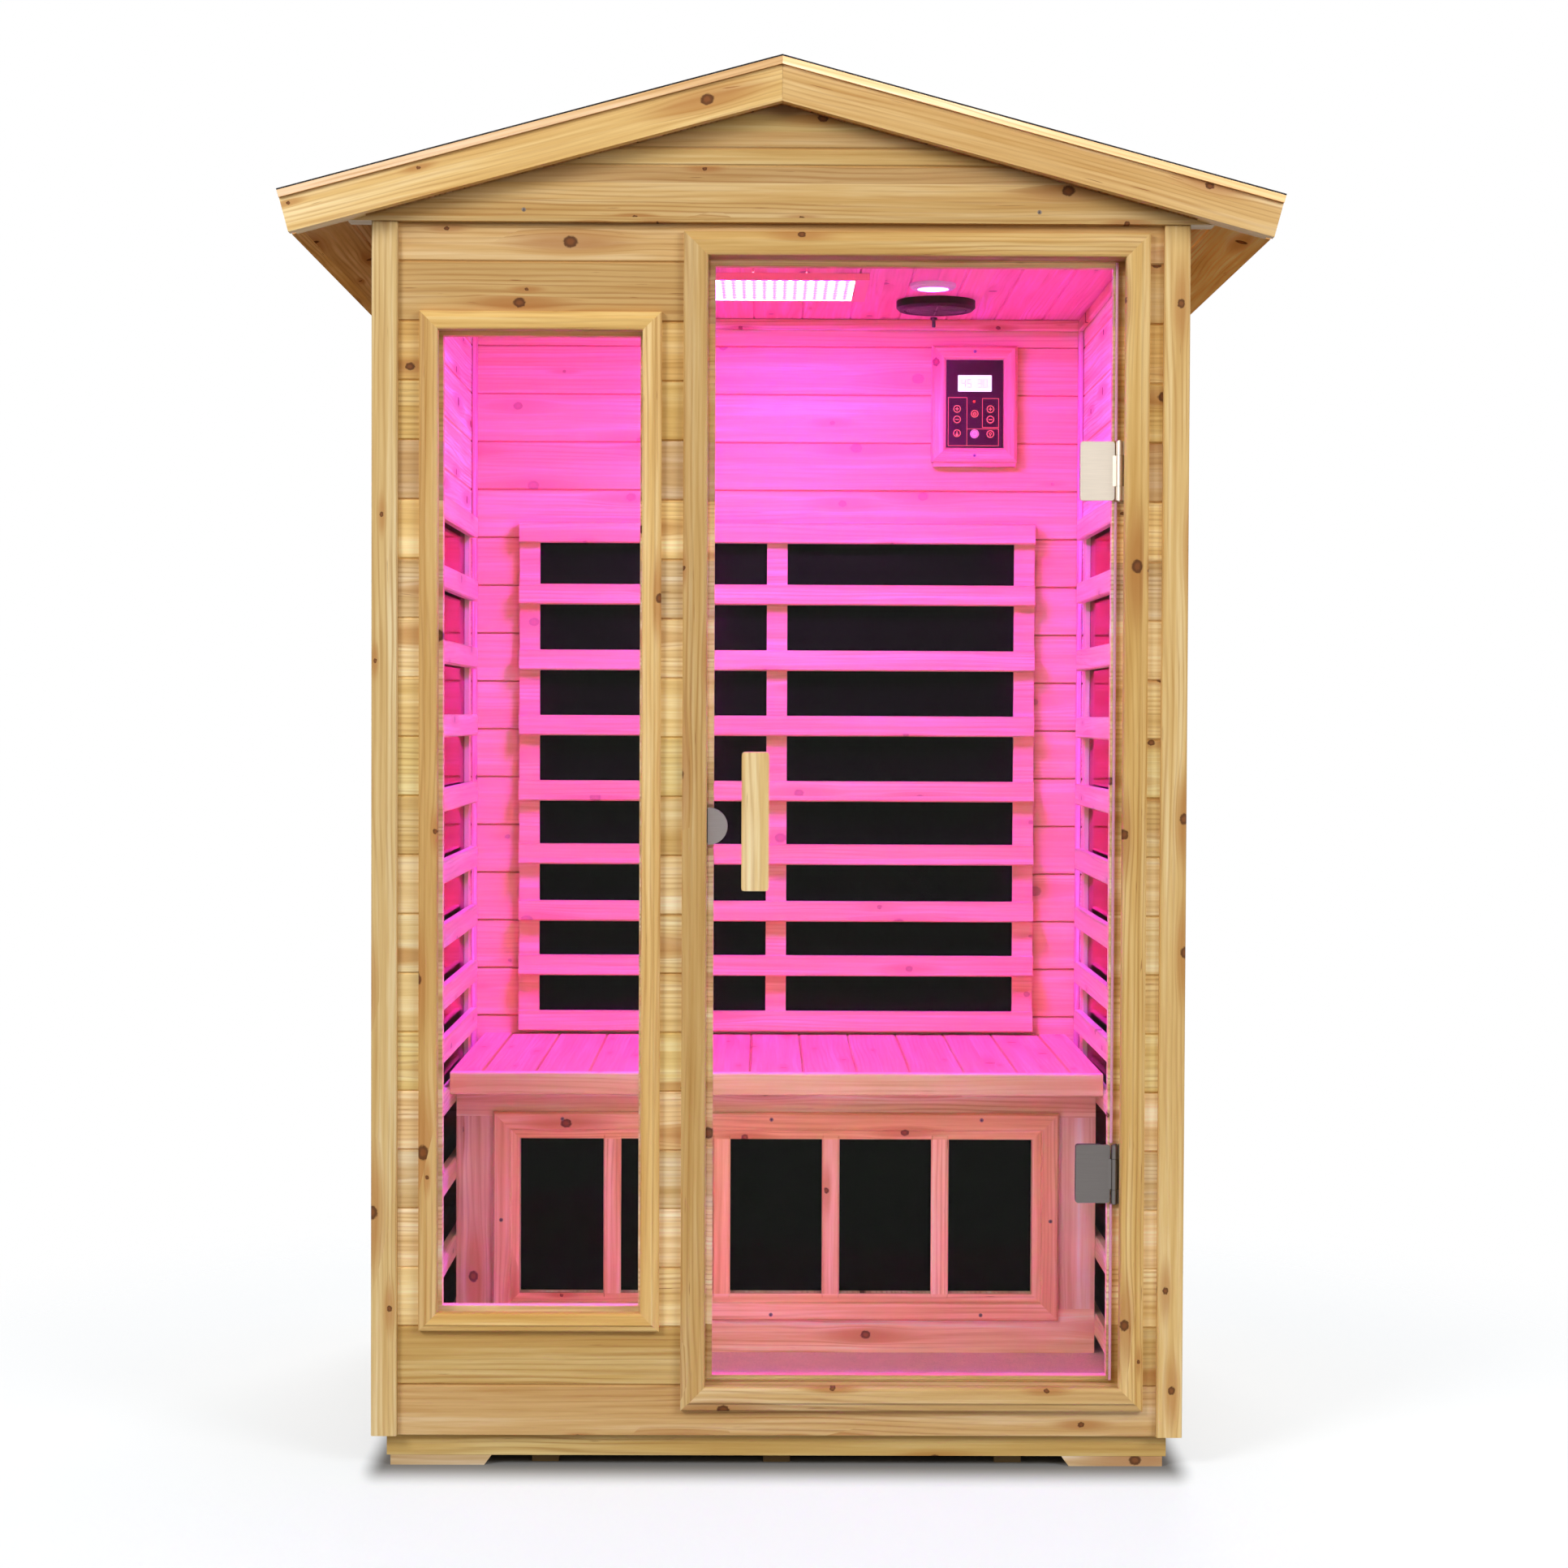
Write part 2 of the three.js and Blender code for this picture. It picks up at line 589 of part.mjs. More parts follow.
// The front wall: boards with a rebated window and a rebated doorway that has a pocket for the magnet.
function frontWall() {
  const section = boardedSection(FRONT_WALL_OUTER, FRONT_WALL_INNER, WALL_BOTTOM, WALL_TOP);
  const boards = alongX(section, -END_WALL_HALF_WIDTH, END_WALL_HALF_WIDTH);
  const front = FRONT_WALL_OUTER - CUT_PAST;
  const behind = FRONT_WALL_INNER + CUT_PAST;
  const windowStop = GLASS_FRONT + WINDOW_GLASS_THICKNESS + SEAT_GAP;
  const hollow = (opening, grow, from, to) =>
    box([opening.left - grow, from, opening.bottom - grow], [opening.right + grow, to, opening.top + grow]);
  const jamb = { ...DOORWAY, right: DOORWAY.right + HINGE_SIDE_REVEAL };
  const pocket = box(
    [DOORWAY.left, DOOR_STOP_FRONT - CUT_PAST, CATCH_CENTRE_Z - CATCH_HEIGHT / 2 - CUT_PAST],
    [
      DOOR_STOP.left + CUT_PAST,
      DOOR_STOP_FRONT + MAGNET_POCKET_DEPTH,
      CATCH_CENTRE_Z + CATCH_HEIGHT / 2 + CUT_PAST,
    ],
  );
  return cut(boards, [
    hollow(WINDOW, WINDOW_REBATE, front, windowStop),
    hollow(WINDOW, -WINDOW_STOP, front, behind),
    hollow(jamb, 0, front, DOOR_STOP_FRONT),
    hollow(DOOR_STOP, 0, front, behind),
    pocket,
  ]);
}

add(root, "left_wall", "fir", sideWall(-1));
add(root, "right_wall", "fir", sideWall(1));
add(root, "front_wall", "fir", frontWall());
add(
  root,
  "back_wall",
  "fir",
  alongX(
    boardedSection(BACK_WALL_OUTER, BACK_WALL_INNER, WALL_BOTTOM, WALL_TOP),
    -END_WALL_HALF_WIDTH,
    END_WALL_HALF_WIDTH,
  ),
);

// Roof
function ceiling() {
  const bottom = WALL_TOP + SEAT_GAP;
  const top = bottom + CEILING_THICKNESS;
  const soffitAtRidge = RIDGE_TOP - (SOFFIT_DEPTH + SEAT_GAP) / Math.cos(ROOF_PITCH);
  const soffitHeight = (x) => soffitAtRidge - x * Math.tan(ROOF_PITCH);
  const bevelStart = (soffitAtRidge - top) / Math.tan(ROOF_PITCH);
  const grooves = groovePlaces(-MIDDLE_BOARDS * BOARD_PITCH, -HALF_WIDTH, HALF_WIDTH);
  const boards = boardedEdge(bottom, 1, -HALF_WIDTH, HALF_WIDTH, grooves).map(([z, x]) => [x, z]);
  const outline = [
    ...boards,
    [HALF_WIDTH, soffitHeight(HALF_WIDTH)],
    [bevelStart, top],
    [-bevelStart, top],
    [-HALF_WIDTH, soffitHeight(HALF_WIDTH)],
  ];
  const halfLength = GABLE_FACE - GABLE_THICKNESS - SEAT_GAP;
  return alongY(outline, -halfLength, halfLength);
}

function gable(end) {
  const bottom = WALL_TOP + SEAT_GAP;
  const apex = RIDGE_TOP - (SOFFIT_DEPTH + SEAT_GAP) / Math.cos(ROOF_PITCH);
  const halfBase = (apex - bottom) / Math.tan(ROOF_PITCH);
  const face = end * GABLE_FACE;
  const inside = end * (GABLE_FACE - GABLE_THICKNESS);
  const triangle = alongY(
    [
      [-halfBase, bottom],
      [halfBase, bottom],
      [0, apex],
    ],
    Math.min(face, inside),
    Math.max(face, inside),
  );
  const grooves = GABLE_GROOVES.map((z) => {
    const outline = [
      [face + end, z - GROOVE_WIDTH / 2 - 1],
      [face + end, z + GROOVE_WIDTH / 2 + 1],
      [face - end * GROOVE_DEPTH, z],
    ];
    return alongX(outline, -halfBase, halfBase);
  });
  return cut(triangle, grooves);
}

// One slope: the deck, and under it the boxed eave whose soffit boards run front to back.
function roofSlope(side) {
  const deck = roofLayer(side, FELT_THICKNESS + SEAT_GAP, DECK_BOTTOM);
  const count = Math.floor(SLOPE_LENGTH / BOARD_PITCH);
  const soffit = Array.from({ length: count }, (_, index) => (index + 0.7) * BOARD_PITCH).flatMap((place) => [
    roofPoint(side, place - GROOVE_WIDTH / 2, SOFFIT_DEPTH),
    roofPoint(side, place, SOFFIT_DEPTH - GROOVE_DEPTH),
    roofPoint(side, place + GROOVE_WIDTH / 2, SOFFIT_DEPTH),
  ]);
  const [upperRidge, lowerRidge, lowerEave, upperEave] = roofLayer(side, DECK_BOTTOM - 2, SOFFIT_DEPTH);
  const boxed = [upperRidge, lowerRidge, ...soffit, lowerEave, upperEave];
  return union([
    alongY(deck, -DECK_HALF_LENGTH, DECK_HALF_LENGTH),
    alongY(boxed, -GABLE_FACE, GABLE_FACE),
  ]);
}

function roofFelt() {
  const eave = (side, depth) => roofPoint(side, SLOPE_LENGTH, depth);
  const ridge = (depth) => [0, RIDGE_TOP - depth / Math.cos(ROOF_PITCH)];
  const outline = [
    eave(-1, 0),
    eave(-1, FELT_THICKNESS),
    ridge(FELT_THICKNESS),
    eave(1, FELT_THICKNESS),
    eave(1, 0),
    ridge(0),
  ];
  return alongY(outline, -DECK_HALF_LENGTH, DECK_HALF_LENGTH);
}

// A fascia board with the short bevelled cleat behind its lower end.
function fascia(side, end) {
  const board = roofLayer(side, DECK_BOTTOM + SEAT_GAP, FASCIA_BOTTOM);
  const cleatEnd = SLOPE_LENGTH - CLEAT_INSET;
  const cleatStart = cleatEnd - CLEAT_LENGTH;
  const cleat = [
    roofPoint(side, cleatStart, CLEAT_TOP),
    roofPoint(side, cleatStart + 6, FASCIA_BOTTOM - 1),
    roofPoint(side, cleatEnd, FASCIA_BOTTOM - 1),
    roofPoint(side, cleatEnd, CLEAT_TOP),
  ];
  const between = (outline, near, far) =>
    alongY(outline, Math.min(end * near, end * far), Math.max(end * near, end * far));
  const boardBack = FASCIA_FRONT - FASCIA_THICKNESS;
  return union([
    between(board, boardBack, FASCIA_FRONT),
    between(cleat, GABLE_FACE + SEAT_GAP, boardBack + 1),
  ]);
}

add(root, "ceiling", "fir", ceiling());
add(root, "roof_slope_left", "fir", roofSlope(-1));
add(root, "roof_slope_right", "fir", roofSlope(1));
add(root, "roof_felt", "felt", roofFelt());
for (const [endName, end] of [["front", -1], ["back", 1]]) {
  add(root, `gable_${endName}`, "fir", gable(end));
  add(root, `fascia_${endName}_left`, "fir", fascia(-1, end));
  add(root, `fascia_${endName}_right`, "fir", fascia(1, end));
}

// Window and door casings
function casing(opening, width) {
  const section = [
    [0, 0],
    [0, CASING_PROUD - 4],
    [1.2, CASING_PROUD - 1.2],
    [4, CASING_PROUD],
    [width * 0.62, CASING_PROUD],
    [width * 0.72, CASING_PROUD - 3],
    [width - 2, CASING_PROUD - 5],
    [width, CASING_PROUD - 7],
    [width, 0],
  ];
  return mitredFrame(opening, section, FRONT_WALL_OUTER - SEAT_GAP);
}

add(root, "window_casing", "fir", casing(WINDOW, WINDOW_CASING_WIDTH));
add(root, "door_casing", "fir", casing(DOORWAY, DOOR_CASING_WIDTH));
const windowGlassGrow = WINDOW_REBATE - 1;
add(
  root,
  "window_glass",
  "glass",
  box(
    [WINDOW.left - windowGlassGrow, GLASS_FRONT, WINDOW.bottom - windowGlassGrow],
    [WINDOW.right + windowGlassGrow, GLASS_FRONT + WINDOW_GLASS_THICKNESS, WINDOW.top + windowGlassGrow],
  ),
);

// Door, in the frame of its hinge axis
const fromAxis = (x) => x - HINGE_AXIS_X;
const glassFrontFromAxis = GLASS_FRONT - HINGE_AXIS_Y;
const glassBackFromAxis = DOOR_GLASS_BACK - HINGE_AXIS_Y;
const boltReach = HANDLE_HEIGHT / 2 - HANDLE_BOLT_FROM_END;
const boltHeights = [HANDLE_CENTRE_Z - boltReach, HANDLE_CENTRE_Z + boltReach];

function doorGlass() {
  const pane = [
    [fromAxis(DOOR_GLASS.left), DOOR_GLASS.bottom],
    [fromAxis(DOOR_GLASS.right), DOOR_GLASS.bottom],
    [fromAxis(DOOR_GLASS.right), DOOR_GLASS.top],
    [fromAxis(DOOR_GLASS.left), DOOR_GLASS.top],
  ];
  const holes = boltHeights.map((z) => circleHole(fromAxis(HANDLE_CENTRE_X), z, HANDLE_BOLT_RADIUS + 0.5));
  return alongY(pane, glassFrontFromAxis, glassBackFromAxis, holes);
}

function handleBar(nearGlass, farFromGlass) {
  const x = fromAxis(HANDLE_CENTRE_X);
  const outline = roundedRectangle(
    x - HANDLE_WIDTH / 2,
    HANDLE_CENTRE_Z - HANDLE_HEIGHT / 2,
    x + HANDLE_WIDTH / 2,
    HANDLE_CENTRE_Z + HANDLE_HEIGHT / 2,
    HANDLE_CORNER,
  );
  return alongY(outline, Math.min(nearGlass, farFromGlass), Math.max(nearGlass, farFromGlass));
}

function handleBolts(radius, from, to) {
  return boltHeights.map((z) => cylinderY(radius, from, to, 16).translate(fromAxis(HANDLE_CENTRE_X), 0, z));
}

const outerGripBack = glassFrontFromAxis - HANDLE_STANDOFF;
const innerGripFront = glassBackFromAxis + HANDLE_STANDOFF;
const boltTip = outerGripBack - HANDLE_BOLT_DEPTH;
add(door, "door_glass", "glass", doorGlass());
add(
  door,
  "handle_outer",
  "fir",
  cut(
    handleBar(outerGripBack, outerGripBack - HANDLE_DEPTH),
    handleBolts(HANDLE_BOLT_RADIUS + SEAT_GAP, boltTip - SEAT_GAP, outerGripBack + CUT_PAST),
  ),
);
add(
  door,
  "handle_inner",
  "fir",
  union([
    handleBar(innerGripFront, innerGripFront + HANDLE_DEPTH),
    ...handleBolts(HANDLE_BOLT_RADIUS, boltTip, innerGripFront + 1),
  ]),
);

// The catch plate is a clip folded round the free edge of the glass, D-shaped on its faces.
function catchPlate() {
  const edge = fromAxis(DOOR_GLASS.left) - SEAT_GAP;
  const radius = CATCH_HEIGHT / 2;
  const straight = CATCH_REACH - radius;
  const arc = Array.from({ length: 13 }, (_, step) => {
    const angle = -Math.PI / 2 + (step / 12) * Math.PI;
    return [
      edge + Math.max(straight, 0) + radius * Math.cos(angle),
      CATCH_CENTRE_Z + radius * Math.sin(angle),
    ];
  });
  const outline = [
    [edge - CATCH_METAL, CATCH_CENTRE_Z - radius],
    ...arc,
    [edge - CATCH_METAL, CATCH_CENTRE_Z + radius],
  ];
  const front = glassFrontFromAxis - SEAT_GAP;
  const back = glassBackFromAxis + SEAT_GAP;
  const slot = box(
    [edge, front, CATCH_CENTRE_Z - CATCH_HEIGHT],
    [edge + CATCH_REACH + CUT_PAST, back, CATCH_CENTRE_Z + CATCH_HEIGHT],
  );
  return cut(alongY(outline, front - CATCH_METAL, back + CATCH_METAL), [slot]);
}

add(door, "catch_plate", "steel", catchPlate());
const magnetFront = DOOR_GLASS_BACK + SEAT_GAP + CATCH_METAL + SEAT_GAP;
add(
  root,
  "catch_magnet",
  "magnet",
  box(
    [DOORWAY.left + SEAT_GAP, magnetFront, CATCH_CENTRE_Z - MAGNET_HEIGHT / 2],
    [
      DOOR_STOP.left - SEAT_GAP,
      DOOR_STOP_FRONT + MAGNET_POCKET_DEPTH - SEAT_GAP,
      CATCH_CENTRE_Z + MAGNET_HEIGHT / 2,
    ],
  ),
);

// Hinges, about their own axis and centre height
const hingeTop = HINGE_HEIGHT / 2;
const knuckleEnd = HINGE_MIDDLE_KNUCKLE / 2;
const pinBore = cylinderZ(HINGE_PIN_RADIUS + HINGE_PIN_CLEARANCE, -HINGE_HEIGHT, HINGE_HEIGHT);

function hingePlate(near, from) {
  const outline = roundedRectangle(-HINGE_PLATE_FAR, -hingeTop, -near, hingeTop, HINGE_CORNER);
  return alongY(outline, from, from + HINGE_PLATE_THICKNESS);
}

function hingeGlassLeaf() {
  const plateBack = glassFrontFromAxis - SEAT_GAP;
  const plateFront = plateBack - HINGE_PLATE_THICKNESS;
  const strap = [
    [-HINGE_PLATE_NEAR - 3, plateFront],
    [0, -HINGE_KNUCKLE_RADIUS + 1.4],
    [0, HINGE_KNUCKLE_RADIUS - 1.4],
    [-HINGE_PLATE_NEAR - 3, plateBack],
  ];
  const middle = knuckleEnd - HINGE_KNUCKLE_GAP / 2;
  const leaf = union([
    hingePlate(HINGE_PLATE_NEAR, plateFront),
    alongZ(strap, -middle, middle),
    cylinderZ(HINGE_KNUCKLE_RADIUS, -middle, middle),
  ]);
  return cut(leaf, [pinBore]);
}

function hingeFrameLeaf() {
  const jamb = fromAxis(DOORWAY.right + HINGE_SIDE_REVEAL) - SEAT_GAP;
  const plate = box(
    [jamb - HINGE_JAMB_PLATE[0], -3, -hingeTop],
    [jamb, HINGE_JAMB_PLATE[1], hingeTop],
  );
  const ends = [-1, 1].flatMap((place) => {
    const inner = place * (knuckleEnd + HINGE_KNUCKLE_GAP / 2);
    const outer = place * hingeTop;
    const low = Math.min(inner, outer);
    const high = Math.max(inner, outer);
    return [cylinderZ(HINGE_KNUCKLE_RADIUS, low, high), box([0, -2.8, low], [jamb - 1, 2.8, high])];
  });
  return cut(union([plate, ...ends]), [pinBore]);
}

function hingePin() {
  const head = hingeTop + 1.6;
  const profile = [
    [0, -head],
    [HINGE_PIN_HEAD_RADIUS - 0.6, -head],
    [HINGE_PIN_HEAD_RADIUS, -head + 0.6],
    [HINGE_PIN_HEAD_RADIUS, -hingeTop - SEAT_GAP],
    [HINGE_PIN_RADIUS, -hingeTop - SEAT_GAP],
    [HINGE_PIN_RADIUS, hingeTop + SEAT_GAP],
    [HINGE_PIN_HEAD_RADIUS, hingeTop + SEAT_GAP],
    [HINGE_PIN_HEAD_RADIUS, head - 0.6],
    [HINGE_PIN_HEAD_RADIUS - 0.6, head],
    [0, head],
  ];
  const points = profile.map(([radius, height]) => new THREE.Vector2(radius, height));
  return new THREE.LatheGeometry(points, 20).rotateX(Math.PI / 2);
}

for (const [name, height] of Object.entries(HINGE_HEIGHTS)) {
  const onFrame = new THREE.Group();
  onFrame.name = `${name}_hinge_group`;
  onFrame.position.set(HINGE_AXIS_X, HINGE_AXIS_Y, height);
  root.add(onFrame);
  add(onFrame, `${name}_hinge_frame_leaf`, "steel", hingeFrameLeaf());
  add(onFrame, `${name}_hinge_pin`, "steel", hingePin());
  const onDoor = new THREE.Group();
  onDoor.name = `${name}_hinge_door_group`;
  onDoor.position.set(0, 0, height);
  door.add(onDoor);
  add(onDoor, `${name}_hinge_glass_leaf`, "steel", hingeGlassLeaf());
  const clamp = hingePlate(HINGE_CLAMP_NEAR, glassBackFromAxis + SEAT_GAP);
  add(onDoor, `${name}_hinge_clamp_plate`, "steel", clamp);
}

// Bench
function benchSeat() {
  const bottom = SEAT_TOP - SEAT_THICKNESS;
  const grooves = groovePlaces(-MIDDLE_BOARDS * BOARD_PITCH, -SEAT_HALF_WIDTH, SEAT_HALF_WIDTH);
  const top = boardedEdge(SEAT_TOP, -1, -SEAT_HALF_WIDTH, SEAT_HALF_WIDTH, grooves).map(([z, x]) => [x, z]);
  const outline = [[SEAT_HALF_WIDTH, bottom], ...top.reverse(), [-SEAT_HALF_WIDTH, bottom]];
  const boardsFront = SEAT_FRONT + NOSING_DEPTH;
  const nosing = roundedRectangle(
    SEAT_FRONT,
    SEAT_TOP - NOSING_HEIGHT,
    boardsFront + 1,
    SEAT_TOP,
    NOSING_ROUND,
  );
  return union([
    alongY(outline, boardsFront, BACK_WALL_INNER - 0.5),
    alongX(nosing, -SEAT_HALF_WIDTH, SEAT_HALF_WIDTH),
  ]);
}

function inset(frame, amount) {
  return {
    left: frame.left + amount,
    right: frame.right - amount,
    bottom: frame.bottom + amount,
    top: frame.top - amount,
  };
}

const calfOpening = inset(CALF_FRAME, CALF_FRAME_WIDTH);
const skirtBottom = FLOOR_TOP + SEAT_GAP;
const skirtTop = SEAT_TOP - SEAT_THICKNESS - SEAT_GAP;

function benchSkirt() {
  const panel = box(
    [-SEAT_HALF_WIDTH, SKIRT_FRONT, skirtBottom],
    [SEAT_HALF_WIDTH, SKIRT_FRONT + SKIRT_THICKNESS, skirtTop],
  );
  const window = box(
    [calfOpening.left, SKIRT_FRONT - CUT_PAST, calfOpening.bottom],
    [calfOpening.right, SKIRT_FRONT + SKIRT_THICKNESS + CUT_PAST, calfOpening.top],
  );
  return cut(panel, [window]);
}

const calfGuardBack = SKIRT_FRONT - SEAT_GAP;

// In plan, across X and Y
function calfSlatSection(centre) {
  const face = calfGuardBack - CALF_FRAME_PROUD + CALF_SLAT_SETBACK;
  return slatSection(centre, CALF_SLAT_WIDTH, calfGuardBack, face).map(([y, across]) => [across, y]);
}

function calfGuard() {
  const section = [
    [0, 0],
    [0, CALF_FRAME_PROUD - 6],
    [CALF_FRAME_LIP, CALF_FRAME_PROUD - 6],
    [CALF_FRAME_LIP + 1, CALF_FRAME_PROUD - 1],
    [CALF_FRAME_LIP + 2, CALF_FRAME_PROUD],
    [CALF_FRAME_WIDTH - 3, CALF_FRAME_PROUD],
    [CALF_FRAME_WIDTH, CALF_FRAME_PROUD - 3],
    [CALF_FRAME_WIDTH, 0],
  ];
  const slats = [-1.5, -0.5, 0.5, 1.5].map((place) =>
    alongZ(
      calfSlatSection(place * CALF_SLAT_PITCH),
      calfOpening.bottom - CALF_SLAT_LAP,
      calfOpening.top + CALF_SLAT_LAP,
    ),
  );
  return union([mitredFrame(calfOpening, section, calfGuardBack), ...slats]);
}

add(root, "bench_seat", "fir", benchSeat());
add(root, "bench_skirt", "fir", benchSkirt());
add(root, "calf_heater_guard", "fir", calfGuard());
const skirtBack = SKIRT_FRONT + SKIRT_THICKNESS + SEAT_GAP;
add(
  root,
  "calf_heater_panel",
  "heater",
  box(
    [calfOpening.left - PANEL_MARGIN, skirtBack, calfOpening.bottom - PANEL_MARGIN],
    [calfOpening.right + PANEL_MARGIN, skirtBack + PANEL_THICKNESS, calfOpening.top + PANEL_MARGIN],
  ),
);

// Heater guards: level slats on upright stiles
function guardHeights(bottom, top, between) {
  return [bottom + SLAT_HEIGHT / 2, ...between, top - SLAT_HEIGHT / 2];
}

function backGuard() {
  const wall = BACK_WALL_INNER;
  const { left, right, bottom, top } = BACK_GUARD;
  const slats = guardHeights(bottom, top, BACK_SLATS).map((z) =>
    alongX(slatSection(z, SLAT_HEIGHT, wall - STILE_FRONT + 1, wall - SLAT_FRONT), left, right),
  );
  const stiles = [left, -SLAT_HEIGHT / 2, right - SLAT_HEIGHT].map((x) =>
    box([x, wall - STILE_FRONT, bottom], [x + SLAT_HEIGHT, wall - STILE_BACK, top]),
  );
  return union([...stiles, ...slats]);
}

function sideGuard(side) {
  const wall = side * INNER_HALF_WIDTH;
  const { front, back, bottom, top } = SIDE_GUARD;
  const slats = guardHeights(bottom, top, [...BACK_SLATS, ...SIDE_LOWER_SLATS]).map((z) => {
    const section = slatSection(z, SLAT_HEIGHT, wall - side * (STILE_FRONT - 1), wall - side * SLAT_FRONT);
    return alongY(section, front, back);
  });
  const stiles = [front, SIDE_MIDDLE_STILE - SLAT_HEIGHT / 2, back - SLAT_HEIGHT].map((y) => {
    const near = wall - side * STILE_BACK;
    const far = wall - side * STILE_FRONT;
    return box([Math.min(near, far), y, bottom], [Math.max(near, far), y + SLAT_HEIGHT, top]);
  });
  return union([...stiles, ...slats]);
}

function sidePanel(side) {
  const near = side * (INNER_HALF_WIDTH - SEAT_GAP);
  const far = side * (INNER_HALF_WIDTH - SEAT_GAP - PANEL_THICKNESS);
  return box(
    [Math.min(near, far), SIDE_GUARD.front + PANEL_MARGIN, SIDE_GUARD.bottom + PANEL_MARGIN],
    [Math.max(near, far), SIDE_GUARD.back - PANEL_MARGIN, SIDE_GUARD.top - PANEL_MARGIN],
  );
}

add(root, "back_heater_guard", "fir", backGuard());
add(
  root,
  "back_heater_panel",
  "heater",
  box(
    [
      BACK_GUARD.left + PANEL_MARGIN,
      BACK_WALL_INNER - SEAT_GAP - PANEL_THICKNESS,
      BACK_GUARD.bottom + PANEL_MARGIN,
    ],
    [BACK_GUARD.right - PANEL_MARGIN, BACK_WALL_INNER - SEAT_GAP, BACK_GUARD.top - PANEL_MARGIN],
  ),
);
for (const [name, side] of [["left", -1], ["right", 1]]) {
  add(root, `${name}_heater_guard`, "fir", sideGuard(side));
  add(root, `${name}_heater_panel`, "heater", sidePanel(side));
}

// Ceiling fittings hang from the ceiling boards.
const fittingTop = WALL_TOP;

function lightPanel() {
  const { halfWidth, front, back, thickness, border, recess } = LIGHT_PANEL;
  const bottom = fittingTop - thickness;
  const housing = box([-halfWidth, front, bottom], [halfWidth, back, fittingTop]);
  const diffuser = box(
    [border - halfWidth, front + LIGHT_PANEL_END_BORDER, bottom - CUT_PAST],
    [halfWidth - border, back - LIGHT_PANEL_END_BORDER, bottom + recess],
  );
  return cut(housing, [diffuser]);
}

// A turned fitting, given from its lower middle outwards and up.
function turnedFitting(profile, [x, y]) {
  const points = profile.map(([radius, height]) => new THREE.Vector2(radius, height));
  return new THREE.LatheGeometry(points, 28).rotateX(Math.PI / 2).translate(x, y, fittingTop);
}

const lampProfile = [
  [0, -LAMP_THICKNESS + 3],
  [LAMP_LENS_RADIUS, -LAMP_THICKNESS + 4.5],
  [LAMP_LENS_RADIUS, -LAMP_THICKNESS],
  [LAMP_RADIUS - 5, -LAMP_THICKNESS],
  [LAMP_RADIUS, -LAMP_THICKNESS + 4],
  [LAMP_RADIUS, 0],
  [0, 0],
];
const speakerProfile = [
  [0, -SPEAKER_THICKNESS + 1.5],
  [SPEAKER_RADIUS - 14, -SPEAKER_THICKNESS + 1.5],
  [SPEAKER_RADIUS - 13, -SPEAKER_THICKNESS],
  [SPEAKER_RADIUS - 5, -SPEAKER_THICKNESS],
  [SPEAKER_RADIUS, -SPEAKER_THICKNESS + 5],
  [SPEAKER_RADIUS, 0],
  [0, 0],
];
add(root, "light_panel", "lampWhite", lightPanel());
add(root, "colour_lamp", "lampWhite", turnedFitting(lampProfile, COLOUR_LAMP_AT));
add(root, "reading_lamp", "lampWhite", turnedFitting(lampProfile, READING_LAMP_AT));
add(root, "speaker", "blackPlastic", turnedFitting(speakerProfile, SPEAKER_AT));

// Control panel, about its centre on the back wall; -Y stands out from the wall.
function controlFrame() {
  const [halfWidth, halfHeight] = CONTROL_FACE_HALF.map((half) => half + SEAT_GAP);
  const opening = { left: -halfWidth, right: halfWidth, bottom: -halfHeight, top: halfHeight };
  const width = CONTROL_FRAME_WIDTH;
  const section = [
    [0, 0],
    [0, CONTROL_FRAME_DEPTH - 5],
    [3, CONTROL_FRAME_DEPTH - 2],
    [6, CONTROL_FRAME_DEPTH],
    [width - 5, CONTROL_FRAME_DEPTH],
    [width, CONTROL_FRAME_DEPTH - 5],
    [width, 0],
  ];
  const sillHalfWidth = CONTROL_FRAME_HALF[0] - CONTROL_SILL_INSET;
  const sill = box(
    [-sillHalfWidth, -CONTROL_SILL_DEPTH, -CONTROL_FRAME_HALF[1] - CONTROL_SILL_HEIGHT],
    [sillHalfWidth, 0, CONTROL_SILL_LAP - CONTROL_FRAME_HALF[1]],
  );
  return union([mitredFrame(opening, section, 0), sill]);
}

const keypadFace = -CONTROL_FRAME_DEPTH + CONTROL_FACE_SETBACK;

function keypad() {
  const [halfWidth, halfHeight] = CONTROL_FACE_HALF;
  const face = box(
    [-halfWidth, keypadFace, -halfHeight],
    [halfWidth, keypadFace + CONTROL_FACE_DEPTH, halfHeight],
  );
  const display = box(
    [-DISPLAY_HALF[0], keypadFace - CUT_PAST, DISPLAY_CENTRE_Z - DISPLAY_HALF[1]],
    [DISPLAY_HALF[0], keypadFace + DISPLAY_RECESS, DISPLAY_CENTRE_Z + DISPLAY_HALF[1]],
  );
  const wellDepth = KEY_LENGTH - KEY_PROUD + KEY_TRAVEL_ROOM;
  const wells = Object.values(KEYS).map(([x, z]) =>
    cylinderY(KEY_RADIUS + KEY_CLEARANCE, keypadFace - CUT_PAST, keypadFace + wellDepth).translate(x, 0, z),
  );
  return cut(face, [display, ...wells]);
}

function key() {
  const profile = [
    [0, 0],
    [KEY_RADIUS, 0],
    [KEY_RADIUS, KEY_LENGTH - 0.8],
    [KEY_RADIUS - 1.2, KEY_LENGTH],
    [0, KEY_LENGTH + 0.2],
  ];
  const points = profile.map(([radius, height]) => new THREE.Vector2(radius, height));
  return new THREE.LatheGeometry(points, 20).rotateX(Math.PI).translate(0, KEY_LENGTH, 0);
}

